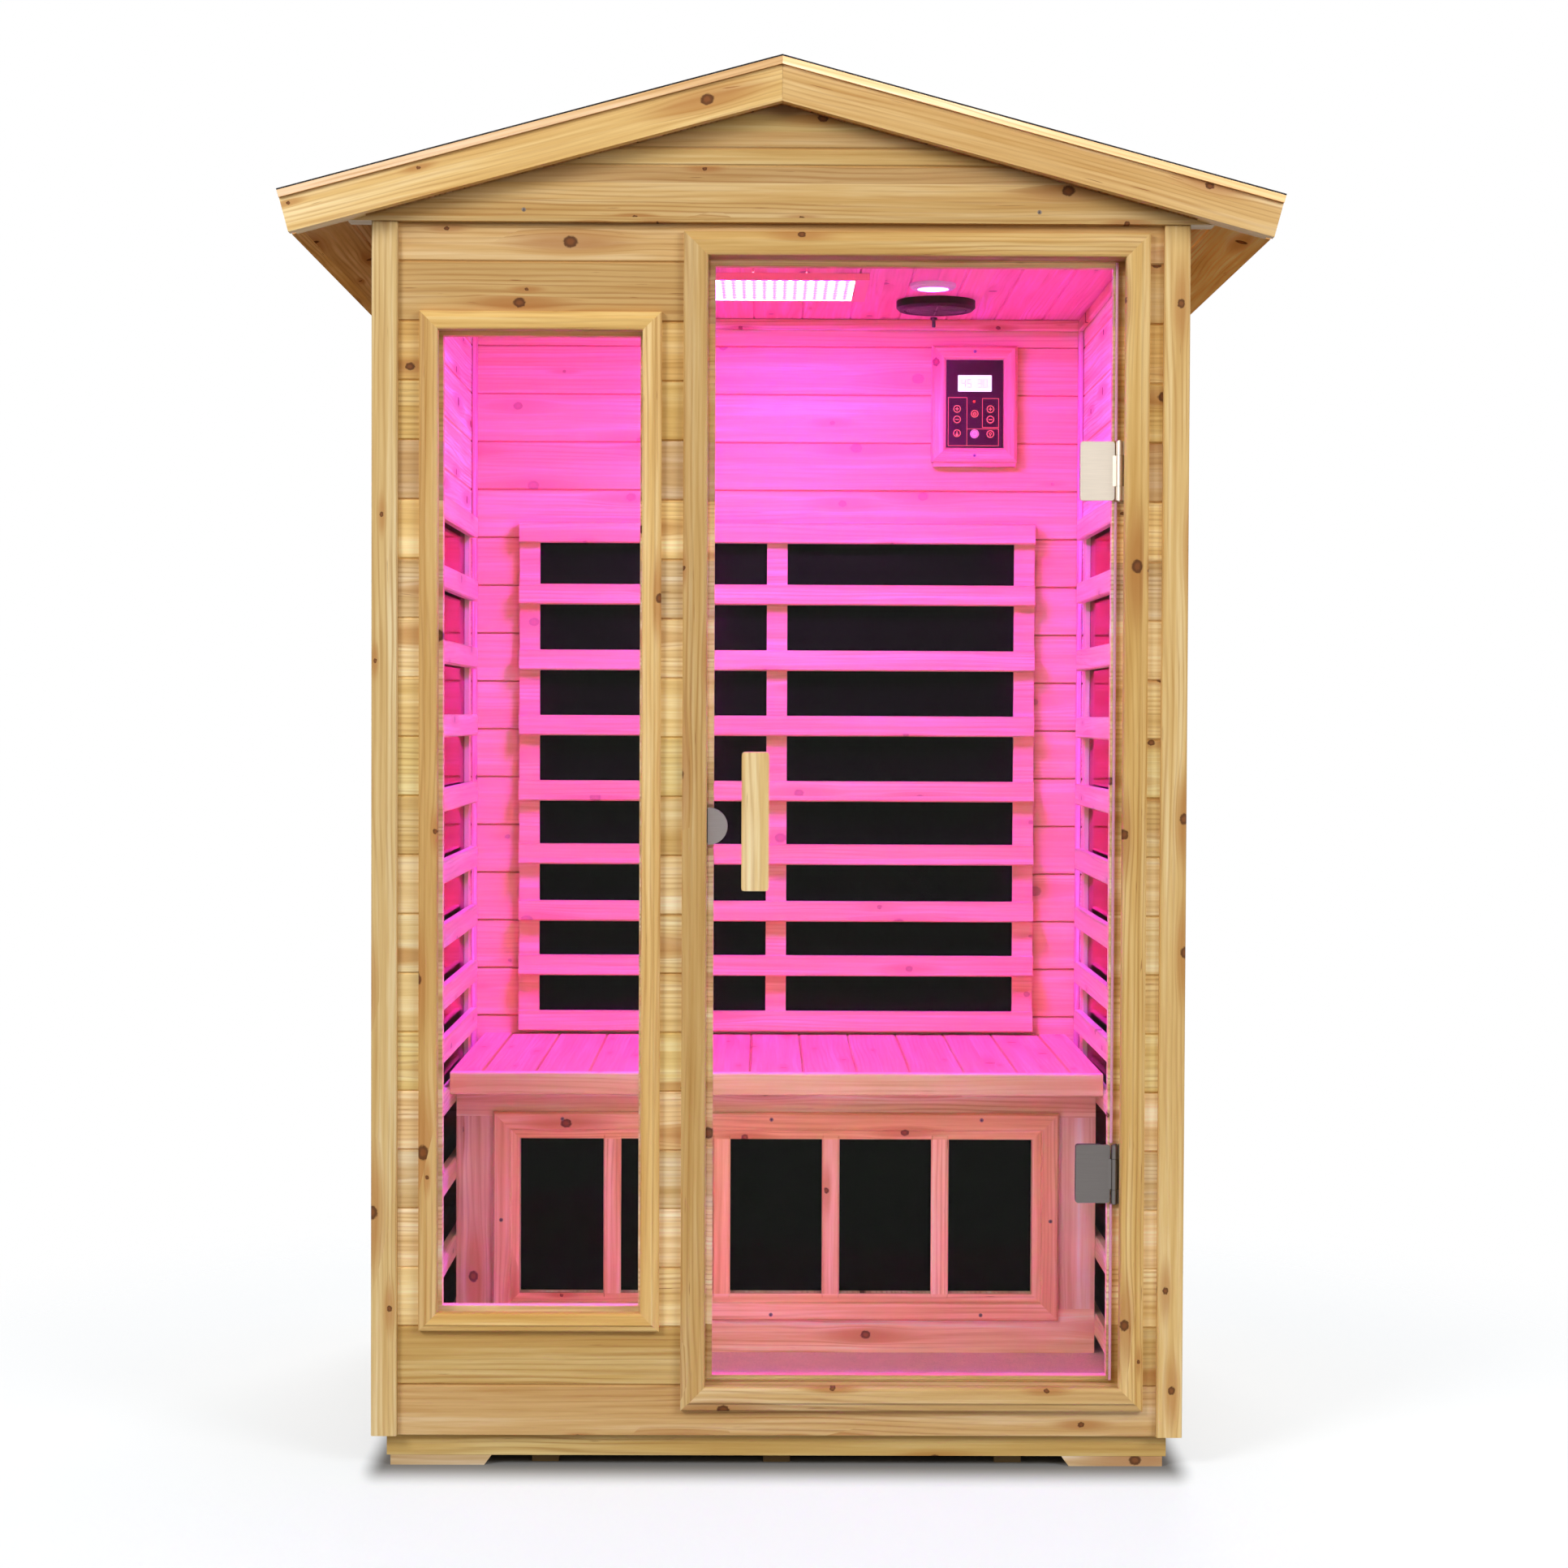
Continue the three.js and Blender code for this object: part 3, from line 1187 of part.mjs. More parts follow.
add(controlPanel, "control_frame", "fir", controlFrame());
add(controlPanel, "keypad", "blackPlastic", keypad());
for (const [name, [x, z]] of Object.entries(KEYS)) {
  add(controlPanel, name, "keyGrey", key()).position.set(x, keypadFace - KEY_PROUD, z);
}

export default root;
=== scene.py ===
"""Looks of an outdoor infrared sauna cabin: knotty fir, glass, its own pink light and a studio.

Metres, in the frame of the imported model: X to the right, the front faces -Y, Z up.
"""
import math

import bmesh
import bpy
from mathutils import Matrix, Vector


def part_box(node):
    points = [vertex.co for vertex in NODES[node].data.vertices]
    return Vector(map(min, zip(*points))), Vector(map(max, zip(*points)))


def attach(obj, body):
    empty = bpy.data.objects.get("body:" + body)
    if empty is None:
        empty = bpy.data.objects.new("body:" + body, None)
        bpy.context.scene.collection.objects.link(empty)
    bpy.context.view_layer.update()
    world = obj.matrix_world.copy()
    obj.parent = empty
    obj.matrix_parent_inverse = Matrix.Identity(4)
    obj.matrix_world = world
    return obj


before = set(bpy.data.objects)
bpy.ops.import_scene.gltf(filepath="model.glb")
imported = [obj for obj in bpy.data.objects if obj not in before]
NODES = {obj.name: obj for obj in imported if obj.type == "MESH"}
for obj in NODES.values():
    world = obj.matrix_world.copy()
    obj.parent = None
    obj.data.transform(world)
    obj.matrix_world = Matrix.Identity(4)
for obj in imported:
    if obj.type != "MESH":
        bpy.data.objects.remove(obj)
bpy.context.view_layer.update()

KEYS = sorted(name for name in NODES if name.startswith("key_"))
MM = 0.001
FRONT = (0, -1, 0)
DOWN = (0, 0, -1)

# Camera, fitted to the photograph
CAMERA_PLACE = Vector((-0.0230, -4.6914, 1.1136))
CAMERA_LENS = 65.07
CAMERA_SENSOR = 36.0
CAMERA_TURN = (0.02391, 0.00713, 0.00415)  # pitch, yaw and roll

# Boards
BOARD_PITCH = 87.2 * MM
OUTER_FIRST = 122 * MM  # the lowest joint between the boards outside
INNER_FIRST = 129 * MM  # and on the back wall inside
SHORT_ROWS = (1, 15)  # rows of boards beside the window and the door, counted from the lowest joint
JOINT_HALF_WIDTH = 1.1 * MM
GABLE_PITCH = 25 * MM
GABLE_FIRST = 1892 * MM
POST_WIDTH = 38 * MM
ROOF_PITCH = math.radians(15.1)
SLAT_PITCH = 57 * MM  # on the heater guards
STILE_PITCH = 160 * MM
STILE_FRONT = 13.1 * MM  # from a wall to the front of a heater guard's stiles
NOSING_DEPTH = 22 * MM
SKIRT_UPRIGHT = (130 * MM, 449 * MM)  # from the lower rail of the bench skirt to the upper one
SKIRT_RAIL_PITCH = 400 * MM  # tells the two rails apart
SKIRT_PITCH = 110 * MM
SKIRT_FIRST = 30 * MM
CALF_FRAME_WIDTH = 44 * MM
CALF_SLAT_PITCH = 181 * MM
RUNNER_TOP = 14.9 * MM
TRIM_PITCH = 0.4  # tells a trim on the left from one on the right
WHOLE = 1.0  # a pitch wider than a piece that is one board

# Fir
RING_PITCH = 8 * MM
LOG_LENGTH = 23.0  # the boards are cut from anywhere in this length and width
LOG_WIDTH = 7.0
KNOT_CELLS_ALONG = 3.0  # knot cells to a metre
KNOT_CELLS_ACROSS = 14.0
KNOT_SHARE = 0.9  # share of the cells that hold a knot
KNOT_LEAST = 2.2 * MM  # radius
KNOT_MOST = 8.5 * MM
KNOT_SIZE_POWER = 1.4  # above 1, small knots are the more common
KNOT_RAGGED = 4 * MM
CALM_SHARE = 0.42  # how far the grain inside the cabin is evened out
JOINT_SHARE = 0.8
LOW_DARK_SHARE = 0.8

# Tones, by which the fir's colour is multiplied
PALE_TONE = (1.3, 1.48, 1.75)
ROOM_PAINTED_LIGHT_TONE = (1.3, 1.5, 2.6)  # the side walls inside the room, paler and bluer: painted pink light of the cabin's own lamps
# painted light: a violet tone that paints the cabin's pink light on the corner trims
TRIM_PAINTED_LIGHT_TONE = (1.2, 0.95, 2.0)
TONES = {
    "front": (1.04, 1.05, 1.05),
    "back": (1.0, 1.1, 1.22),
    "left": (1.2, 1.32, 1.42),
    "right": (1.2, 1.32, 1.42),
    # painted light: a magenta tone, with less green, paints the cabin's pink light on the ceiling
    "ceiling": (1.48, 0.76, 3.2),
    # painted light: the two soffit tones lift the fir out of the shade under the roof, the right one
    # more as it is lit more
    "roof_left": (1.25, 1.12, 1.2),
    "roof_right": (1.75, 1.65, 1.75),
    "fascia_left": (1.22, 1.28, 1.36),
    "fascia_right": (1.22, 1.28, 1.36),
    "window_casing": (1.26, 1.26, 1.22),
    "door_casing": (1.08, 1.08, 1.08),
    "handles": (1.33, 1.52, 1.95),
    "base": (1.05, 1.1, 0.83),
    "foot": (1.16, 1.3, 1.75),
    # painted light: the paler, bluer tones of the skirt and the heater guards paint the cabin's pink
    # light into their fir
    "skirt": (1.42, 1.7, 2.5),
    "calf_guard": (1.35, 1.42, 1.7),
    "back_guard": (1.0, 1.08, 1.28),
    "left_guard": (1.25, 1.5, 2.2),
    "right_guard": (1.25, 1.5, 2.2),
}

# Roofing felt
FELT_COURSE = 0.245  # measured level, from the ridge out
LAP_SHADOW = 7 * MM

# The cabin's own light
CELL_PITCH = 17 * MM
PANEL_COLOUR = (0.36, 0.014, 1.0, 1.0)
PANEL_LEVEL = 4400.0
DIFFUSER_LEVEL = 6.0
COLOUR_LAMP_TINT = (0.50, 0.05, 1.0, 1.0)
COLOUR_LAMP_LEVEL = 700.0
DIFFUSER = ((-123 * MM, -47 * MM), (123 * MM, 174 * MM))  # its corners in X and Y
BULB_RADIUS = 26 * MM
LENS = [(6.2, 0.0), (5.58, 0.7), (3.41, 1.1), (0.0, 1.3)]  # radius and height in mm
LENS_COLUMNS = 14
LENS_ROWS = 13

# Small pieces
SCREW_HEAD = [(0.0, -0.2), (3.2, -0.2), (3.2, 0.1), (2.6, 0.5), (0.0, 0.7)]  # radius and height in mm
SCREW_CROSS = (1.7 * MM, 0.35 * MM)  # half the length and half the width of a slot
GABLE_SCREW = (0.377, 1.852)  # distance from the middle, and height
CALF_SCREWS = (-0.354, -0.008, 0.340)  # along the top and the bottom of the frame
CALF_SIDE_SCREW = (0.455, 0.278)
CONTROL_SCREW = 15 * MM  # from the keypad's edge
MARK_HEIGHT = 0.12 * MM  # how far a printed mark stands up
KEY_GROUPS = [  # corners of the outlines, in mm from the middle of the keypad
    ((-48, -76), (-14, 11)),
    ((14, -43), (43.5, 9.5)),
    ((-14, -76), (43.5, -45.5)),
]
DISPLAY_HALF = (30.6 * MM, 14.8 * MM)
DISPLAY_UP = 36.7 * MM  # from the middle of the keypad
DISPLAY_RECESS = 0.8 * MM
DISPLAY_DIGITS = [("4", -20.5), ("5", -10.0), ("3", 8.5), ("0", 19.0)]  # and their places in mm
SEGMENTS = {"0": "abcdef", "3": "abgcd", "4": "fgbc", "5": "afgcd"}
SEGMENT_PLACES = {  # across and up, as shares of half the digit, and whether it lies level
    "a": (0, 1, True), "b": (1, 0.5, False), "c": (1, -0.5, False), "d": (0, -1, True),
    "e": (-1, -0.5, False), "f": (-1, 0.5, False), "g": (0, 0, True),
}
SIGNAL_DOME = [(1.9, -0.1), (1.9, 0.3), (1.2, 0.9), (0.0, 1.1)]  # radius and height in mm
PROBE = [(0.0, 0.0), (6.0, 0.0), (6.0, 4.0), (3.2, 5.0), (3.2, 16.0), (2.4, 17.5), (0.0, 18.0)]
PROBE_X = 0.281
PROBE_FROM_BACK = 32 * MM
HINGE_GAP = 2 * MM  # between the door's seal and a hinge

# Studio
WORLD_LEVEL = 0.40
WORLD_BELOW = 0.05
HORIZON = (-0.15, 0.1)  # the surround brightens between these slopes
FLOOR_RADIUS = 1.9
FLOOR_FADE = 0.95  # from here out the floor fades into the pale surround
FLOOR_GREY = (0.46, 0.49)
FLOOR_GLOW = 0.58
FLOOR_GLOW_TINT = (0.92, 0.96, 1.0, 1.0)
CONTACT_WIDTH = 0.13  # the floor's glow grows, and its painted shadow fades, over this distance from the cabin's foot
CONTACT_SIDES = 3.0  # times faster beside the cabin
CONTACT_PAINTED_SHADOW = 0.55  # painted shadow: the share of the floor's grey that is left at the foot
LAMP_TARGET = Vector((0.0, 0.0, 1.0))
LAMPS = {  # place, size and watts
    "key": ((-3.2, -4.0, 3.4), 2.2, 142.0),
    "fill": ((3.4, -3.8, 2.9), 2.6, 108.0),
    "back": ((0.5, 4.5, 3.8), 3.0, 150.0),
}


def srgb(red, green, blue):
    """A linear colour from 0 to 255 values as a picture shows them."""
    def linear(value):
        value /= 255
        return value / 12.92 if value <= 0.04045 else ((value + 0.055) / 1.055) ** 2.4
    return (linear(red), linear(green), linear(blue), 1.0)


# Colours
STRAW_PALE = srgb(230, 202, 152)
STRAW = srgb(213, 175, 114)
STRAW_WARM = srgb(193, 148, 84)
LATEWOOD = srgb(170, 118, 60)
KNOT_HALO = srgb(172, 108, 52)
KNOT_RIM = srgb(84, 44, 18)
KNOT_CORE = srgb(134, 78, 38)
LOW_DARK_WOOD = srgb(92, 70, 48)
WHITE = (1.0, 1.0, 1.0, 1.0)
WHITE_PLASTIC = srgb(226, 222, 224)
KEYPAD_GLOSS = (1.0, 0.4, 0.3, 1.0)
SIDE_HEATER_GLOSS = (1.0, 0.15, 0.32, 1.0)
DIFFUSER_WHITE = srgb(255, 240, 255)
# painted light: the light panel's rim is pink for the cabin's pink light on it
PANEL_RIM_PAINTED_PINK = srgb(255, 150, 160)


class Graph:
    """Short ways to add nodes to a tree and join them."""

    def __init__(self, tree):
        self.tree = tree

    def put(self, value, socket):
        if isinstance(value, bpy.types.NodeSocket):
            self.tree.links.new(value, socket)
        else:
            socket.default_value = value

    def add(self, kind, *values, **settings):
        """A node with its settings, and values for its first inputs."""
        node = self.tree.nodes.new(kind)
        for name, value in settings.items():
            setattr(node, name, value)
        for value, socket in zip(values, node.inputs):
            self.put(value, socket)
        return node

    def fill(self, node, values):
        """Gives a node's inputs their values by name."""
        for name, value in values.items():
            self.put(value, node.inputs[name])

    def math(self, operation, a, b=0.0):
        return self.add("ShaderNodeMath", a, b, operation=operation).outputs[0]

    def plus(self, a, b):
        return self.math("ADD", a, b)

    def minus(self, a, b):
        return self.math("SUBTRACT", a, b)

    def times(self, a, b):
        return self.math("MULTIPLY", a, b)

    def length(self, a, b):
        squares = self.plus(self.times(a, a), self.times(b, b))
        return self.math("SQRT", squares)

    def pick(self, factor, a, b):
        """a where factor is 0 and b where it is 1."""
        node = self.add("ShaderNodeMix", factor, data_type="FLOAT")
        self.put(a, node.inputs[2])
        self.put(b, node.inputs[3])
        return node.outputs[0]

    def tint(self, factor, a, b, blend="MIX"):
        node = self.add("ShaderNodeMix", factor, data_type="RGBA", blend_type=blend)
        self.put(a, node.inputs[6])
        self.put(b, node.inputs[7])
        return node.outputs[2]

    def shaded(self, colour, shade):
        """A colour times a grey shade."""
        return self.tint(1.0, colour, self.combine(shade, shade, shade), "MULTIPLY")

    def smooth(self, value, start, end):
        """0 at start, 1 at end."""
        node = self.add("ShaderNodeMapRange", value, start, end, interpolation_type="SMOOTHSTEP")
        return node.outputs[0]

    def spread(self, value, low, high):
        """A 0 to 1 value over low to high."""
        return self.plus(self.times(value, high - low), low)

    def combine(self, x, y, z=0.0):
        return self.add("ShaderNodeCombineXYZ", x, y, z).outputs[0]

    def separate(self, vector):
        return self.add("ShaderNodeSeparateXYZ", vector).outputs

    def noise(self, vector, scale=1.0, detail=2.0, roughness=0.5):
        node = self.add("ShaderNodeTexNoise")
        self.fill(node, {"Vector": vector, "Scale": scale, "Detail": detail, "Roughness": roughness})
        return node.outputs[0]

    def ramp(self, factor, stops):
        node = self.add("ShaderNodeValToRGB", factor)
        elements = node.color_ramp.elements
        while len(elements) < len(stops):
            elements.new(0.5)
        for element, (place, colour) in zip(elements, stops):
            element.position = place
            element.color = colour
        return node.outputs[0]

    def point(self):
        """A place in the frame of the model."""
        return self.add("ShaderNodeTexCoord").outputs["Object"]

    def place(self):
        """X, Y and Z in the frame of the model."""
        return self.separate(self.point())

    def seen(self):
        """1 where the camera looks, straight or by way of gloss or glass."""
        path = self.add("ShaderNodeLightPath").outputs
        indirect = self.math("MAXIMUM", path["Is Glossy Ray"], path["Is Transmission Ray"])
        return self.math("MAXIMUM", path["Is Camera Ray"], indirect)

    def bump(self, height, strength, distance):
        node = self.add("ShaderNodeBump")
        self.fill(node, {"Strength": strength, "Distance": distance, "Height": height})
        return node.outputs[0]


def new_material(name):
    """A material, its graph and its Principled shader."""
    material = bpy.data.materials.new(name)
    material.use_nodes = True
    graph = Graph(material.node_tree)
    shader = material.node_tree.nodes["Principled BSDF"]
    return material, graph, shader


def fir_group():
    """Knotty fir, from a place along and across the grain and a number for the board."""
    tree = bpy.data.node_groups.new("knotty_fir", "ShaderNodeTree")
    for name in ("Along", "Across", "Depth", "Board"):
        tree.interface.new_socket(name, in_out="INPUT", socket_type="NodeSocketFloat")
    for name, kind in (("Color", "Color"), ("Roughness", "Float"), ("Height", "Float")):
        tree.interface.new_socket(name, in_out="OUTPUT", socket_type="NodeSocket" + kind)
    g = Graph(tree)
    given = g.add("NodeGroupInput").outputs
    result = g.add("NodeGroupOutput")

    # Each board is cut from its own place in its own log
    dice = g.add("ShaderNodeTexWhiteNoise", noise_dimensions="1D")
    g.put(given["Board"], dice.inputs["W"])
    first, second, third = g.separate(dice.outputs["Color"])
    along = g.plus(given["Along"], g.times(first, LOG_LENGTH))
    across = g.plus(given["Across"], g.times(second, LOG_WIDTH))

    # Knots: some cells of a loose grid hold one
    cell_along = g.times(along, KNOT_CELLS_ALONG)
    cell_across = g.times(across, KNOT_CELLS_ACROSS)
    cells = g.add("ShaderNodeTexVoronoi", voronoi_dimensions="2D", feature="F1")
    g.fill(cells, {"Vector": g.combine(cell_along, cell_across), "Scale": 1.0})
    centre = g.separate(cells.outputs["Position"])
    off_along = g.times(g.minus(cell_along, centre[0]), 1 / KNOT_CELLS_ALONG)
    off_across = g.times(g.minus(cell_across, centre[1]), 1 / KNOT_CELLS_ACROSS)
    draw = g.separate(cells.outputs["Color"])
    kept = g.math("LESS_THAN", draw[0], KNOT_SHARE)
    size = g.spread(g.math("POWER", draw[1], KNOT_SIZE_POWER), KNOT_LEAST, KNOT_MOST)
    ragged = g.noise(g.combine(g.times(along, 260.0), g.times(across, 260.0)), detail=3.0)
    reach = g.length(g.times(off_along, 0.8), off_across)
    reach = g.plus(reach, g.times(g.minus(ragged, 0.5), KNOT_RAGGED))
    knot = g.times(g.smooth(reach, g.times(size, 1.25), g.times(size, 0.9)), kept)
    eye = g.times(g.smooth(reach, g.times(size, 0.8), g.times(size, 0.3)), kept)
    around = g.length(g.times(off_along, 0.2), off_across)
    halo = g.times(g.smooth(around, g.times(size, 3.4), g.times(size, 0.7)), kept)

    # Grain, which flows round the knots; boards near the pith show arches
    flow = g.minus(across, g.times(g.times(off_across, halo), 0.75))
    wander = g.noise(g.combine(g.times(along, 1.7), g.times(flow, 7.0)), detail=2.0)
    side = g.plus(g.plus(flow, g.times(wander, 0.034)), g.times(g.minus(first, 0.5), 0.06))
    side = g.minus(side, g.times(second, LOG_WIDTH))
    rise = g.times(g.noise(g.combine(along, 0.0), 0.9), 0.06)
    lift = g.plus(g.spread(third, 4 * MM, 60 * MM), rise)
    uneven = g.noise(g.combine(g.times(along, 0.9), g.times(flow, 42.0)), detail=3.0)
    rings = g.plus(g.times(g.length(side, lift), 1 / RING_PITCH), g.times(uneven, 2.6))
    wave = g.math("SINE", g.times(rings, 2 * math.pi))
    late = g.math("POWER", g.spread(wave, 0.5, 1.0), 3.0)
    depth = given["Depth"]
    fibre_place = g.combine(g.times(along, 9.0), g.times(flow, 560.0), g.times(depth, 560.0))
    fibre = g.noise(fibre_place, detail=3.0, roughness=0.6)
    streak_place = g.combine(g.times(along, 1.4), g.times(flow, 40.0), g.times(depth, 30.0))
    streak = g.noise(streak_place, detail=5.0, roughness=0.65)
    cloud = g.noise(g.combine(g.times(along, 2.6), g.times(across, 11.0)), detail=3.0)
    dash_place = g.combine(g.times(along, 17.0), g.times(flow, 330.0), 3.0)
    dash = g.smooth(g.noise(dash_place, detail=1.0), 0.70, 0.78)
    dash = g.times(dash, g.smooth(cloud, 0.5, 0.62))

    # Colour
    colour = g.ramp(streak, [(0.30, STRAW_WARM), (0.50, STRAW), (0.68, STRAW_PALE)])
    plain = g.spread(g.smooth(cloud, 0.35, 0.7), 0.05, 0.62)
    colour = g.tint(g.times(late, plain), colour, LATEWOOD)
    colour = g.tint(g.times(g.smooth(fibre, 0.52, 0.75), 0.25), colour, STRAW_WARM)
    colour = g.tint(g.times(dash, 0.75), colour, KNOT_CORE)
    tone = g.spread(second, 0.88, 1.10)
    greener = g.times(tone, g.spread(third, 0.96, 1.02))
    bluer = g.times(tone, g.spread(first, 0.82, 1.12))
    colour = g.tint(1.0, colour, g.combine(tone, greener, bluer), "MULTIPLY")
    colour = g.tint(g.times(halo, 0.6), colour, KNOT_HALO)
    colour = g.tint(g.times(knot, 0.92), colour, KNOT_RIM)
    colour = g.tint(g.times(eye, 0.75), colour, KNOT_CORE)

    height = g.plus(g.times(late, 0.30), g.times(fibre, 0.45))
    g.fill(result, {
        "Color": colour,
        "Roughness": g.plus(g.spread(fibre, 0.38, 0.52), g.times(knot, 0.12)),
        "Height": g.minus(height, g.times(g.plus(knot, dash), 0.4)),
    })
    return tree


FIR = fir_group()


def middle(node):
    """The middle of a node's box."""
    low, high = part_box(node)
    return [(a + b) / 2 for a, b in zip(low, high)]


def boards(grain, stack, pitch=BOARD_PITCH, first=0.0):
    """Boards that run along one axis and are stacked along another, by their letters."""
    def layout(g):
        place = dict(zip("xyz", g.place()))
        depth = place[next(axis for axis in "xyz" if axis not in (grain, stack))]
        number = g.math("FLOOR", g.times(g.minus(place[stack], first), 1 / pitch))
        return place[grain], place[stack], depth, number
    return layout


def mitred(node):
    """A mitred frame in the XZ plane with the same mitres as that node's box."""
    low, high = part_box(node)
    centre = middle(node)

    def layout(g):
        x, y, z = g.place()
        from_x = g.minus(x, centre[0])
        from_z = g.minus(z, centre[2])
        past_x = g.minus(g.math("ABSOLUTE", from_x), (high[0] - low[0]) / 2)
        past_z = g.minus(g.math("ABSOLUTE", from_z), (high[2] - low[2]) / 2)
        upright = g.math("GREATER_THAN", past_x, past_z)
        right = g.math("GREATER_THAN", from_x, 0.0)
        top = g.math("GREATER_THAN", from_z, 0.0)
        number = g.pick(upright, top, g.plus(right, 2.0))
        return g.pick(upright, x, z), g.pick(upright, z, x), y, number
    return layout


def guard(slat_axis, depth_axis, stile_limit):
    """A heater guard: upright stiles past a depth from the middle, with level slats in front."""
    def layout(g):
        place = dict(zip("xyz", g.place()))
        deep = g.math("ABSOLUTE", place[depth_axis])
        stile = g.math("GREATER_THAN", deep, stile_limit)
        run, height = place[slat_axis], place["z"]
        slat_number = g.math("FLOOR", g.times(height, 1 / SLAT_PITCH))
        stile_number = g.math("FLOOR", g.times(run, 1 / STILE_PITCH))
        number = g.pick(stile, slat_number, g.plus(stile_number, 40.0))
        return g.pick(stile, run, height), g.pick(stile, height, run), place[depth_axis], number
    return layout


def sloped(side):
    """A board that follows the roof on one side, -1 for the left and 1 for the right."""
    def layout(g):
        x, y, z = g.place()
        rise, run = math.sin(ROOF_PITCH), math.cos(ROOF_PITCH)
        along = g.minus(g.times(x, run), g.times(z, side * rise))
        across = g.plus(g.times(z, run), g.times(x, side * rise))
        return along, across, y, g.math("FLOOR", g.times(y, 2.0))
    return layout


def roof_plan(side):
    """Boards front to back under the roof, with the deck's two ends cut along the slope."""
    under, end = boards("y", "x"), sloped(side)
    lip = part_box("fascia_back_left")[1][1] - 1 * MM

    def layout(g):
        at_end = g.math("GREATER_THAN", g.math("ABSOLUTE", g.place()[1]), lip)
        return [g.pick(at_end, a, b) for a, b in zip(under(g), end(g))]
    return layout


def skirt_plan():
    """The bench skirt: a rail above and below, and upright boards between them."""
    level = boards("x", "z", SKIRT_RAIL_PITCH)
    upright = boards("z", "x", SKIRT_PITCH, SKIRT_FIRST)

    def layout(g):
        z = g.place()[2]
        above = g.math("GREATER_THAN", z, SKIRT_UPRIGHT[0])
        between = g.times(above, g.math("LESS_THAN", z, SKIRT_UPRIGHT[1]))
        return [g.pick(between, a, b) for a, b in zip(level(g), upright(g))]
    return layout


def side_wall(first):
    """Boards front to back between the upright stiles at the two ends."""
    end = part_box("left_wall")[1][1] - POST_WIDTH

    def layout(g):
        x, y, z = g.place()
        post = g.math("GREATER_THAN", g.math("ABSOLUTE", y), end)
        level = g.math("FLOOR", g.times(g.minus(z, first), 1 / BOARD_PITCH))
        corner = g.plus(g.math("GREATER_THAN", y, 0.0), 60.0)
        number = g.pick(post, level, corner)
        return g.pick(post, y, z), g.pick(post, z, g.plus(x, y)), x, number
    return layout


def with_nosing(plan, edge):
    """A plan of boards with one board from left to right before an edge in Y."""
    def layout(g):
        along, across, depth, number = plan(g)
        x, y, z = g.place()
        nosing = g.math("LESS_THAN", y, edge)
        number = g.pick(nosing, number, 80.0)
        return g.pick(nosing, along, x), g.pick(nosing, across, z), depth, number
    return layout


def calf_plan():
    """The calf guard's mitred frame, with upright slats inside it."""
    frame_plan = mitred("calf_heater_guard")
    low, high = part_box("calf_heater_guard")
    bottom, top = low[2] + CALF_FRAME_WIDTH, high[2] - CALF_FRAME_WIDTH

    def layout(g):
        along, across, depth, number = frame_plan(g)
        x, y, z = g.place()
        in_x = g.math("LESS_THAN", g.math("ABSOLUTE", x), high[0] - CALF_FRAME_WIDTH)
        in_z = g.times(g.math("LESS_THAN", z, top), g.math("GREATER_THAN", z, bottom))
        slat = g.times(in_x, in_z)
        slat_number = g.plus(g.math("FLOOR", g.times(x, 1 / CALF_SLAT_PITCH)), 30.0)
        number = g.pick(slat, number, slat_number)
        return g.pick(slat, along, z), g.pick(slat, across, x), depth, number
    return layout


def where(axis, relation, limit, either_way=False):
    """1 where a place along an axis, or its distance from the middle, is over or under a limit."""
    def mask(g):
        place = g.place()[axis]
        if either_way:
            place = g.math("ABSOLUTE", place)
        return g.math(relation, place, limit)
    return mask


def both(first, second):
    """1 where two masks are 1."""
    def mask(g):
        return g.times(first(g), second(g))
    return mask


def everywhere(g):
    """1 at every place."""
    return 1.0


def joint_lines(first, inside):
    """1 along the level joints between the boards of a wall, where another mask says 1."""
    def mask(g):
        steps = g.times(g.minus(g.place()[2], first), 1 / BOARD_PITCH)
        away = g.math("ABSOLUTE", g.minus(steps, g.math("ROUND", steps)))
        return g.times(g.math("LESS_THAN", away, JOINT_HALF_WIDTH / BOARD_PITCH), inside(g))
    return mask


def wood(name, layout, seed, bump=0.35, tone=None, raw_below=None,
         pale=None, pale_tone=PALE_TONE, calm=None, joints=None, shine=0.2):
    """Fir on a plan of boards.

    A tone tints it, and a second one where the mask pale says so. Other masks say where it has a calm
    grain and shows joints. Below a height it is darker.
    """
    material, g, shader = new_material(name)
    along, across, depth, number = layout(g)
    board = g.plus(number, seed + 0.5)
    fir = g.add("ShaderNodeGroup", along, across, depth, board, node_tree=FIR)
    colour = fir.outputs["Color"]
    if calm is not None:
        colour = g.tint(g.times(calm(g), CALM_SHARE), colour, STRAW)
    if joints is not None:
        colour = g.tint(g.times(joints(g), JOINT_SHARE), colour, KNOT_HALO)
    if tone is not None:
        colour = g.tint(1.0, colour, (*tone, 1.0), "MULTIPLY")
    if pale is not None:
        paler = g.tint(1.0, colour, (*pale_tone, 1.0), "MULTIPLY")
        colour = g.tint(pale(g), colour, paler)
    if raw_below is not None:
        low = g.math("LESS_THAN", g.place()[2], raw_below)
        colour = g.tint(g.times(low, LOW_DARK_SHARE), colour, LOW_DARK_WOOD)
    g.fill(shader, {
        "Base Color": colour,
        "Roughness": fir.outputs["Roughness"],
        "Specular IOR Level": shine,
        "Normal": g.bump(fir.outputs["Height"], bump, 0.6 * MM),
    })
    return material


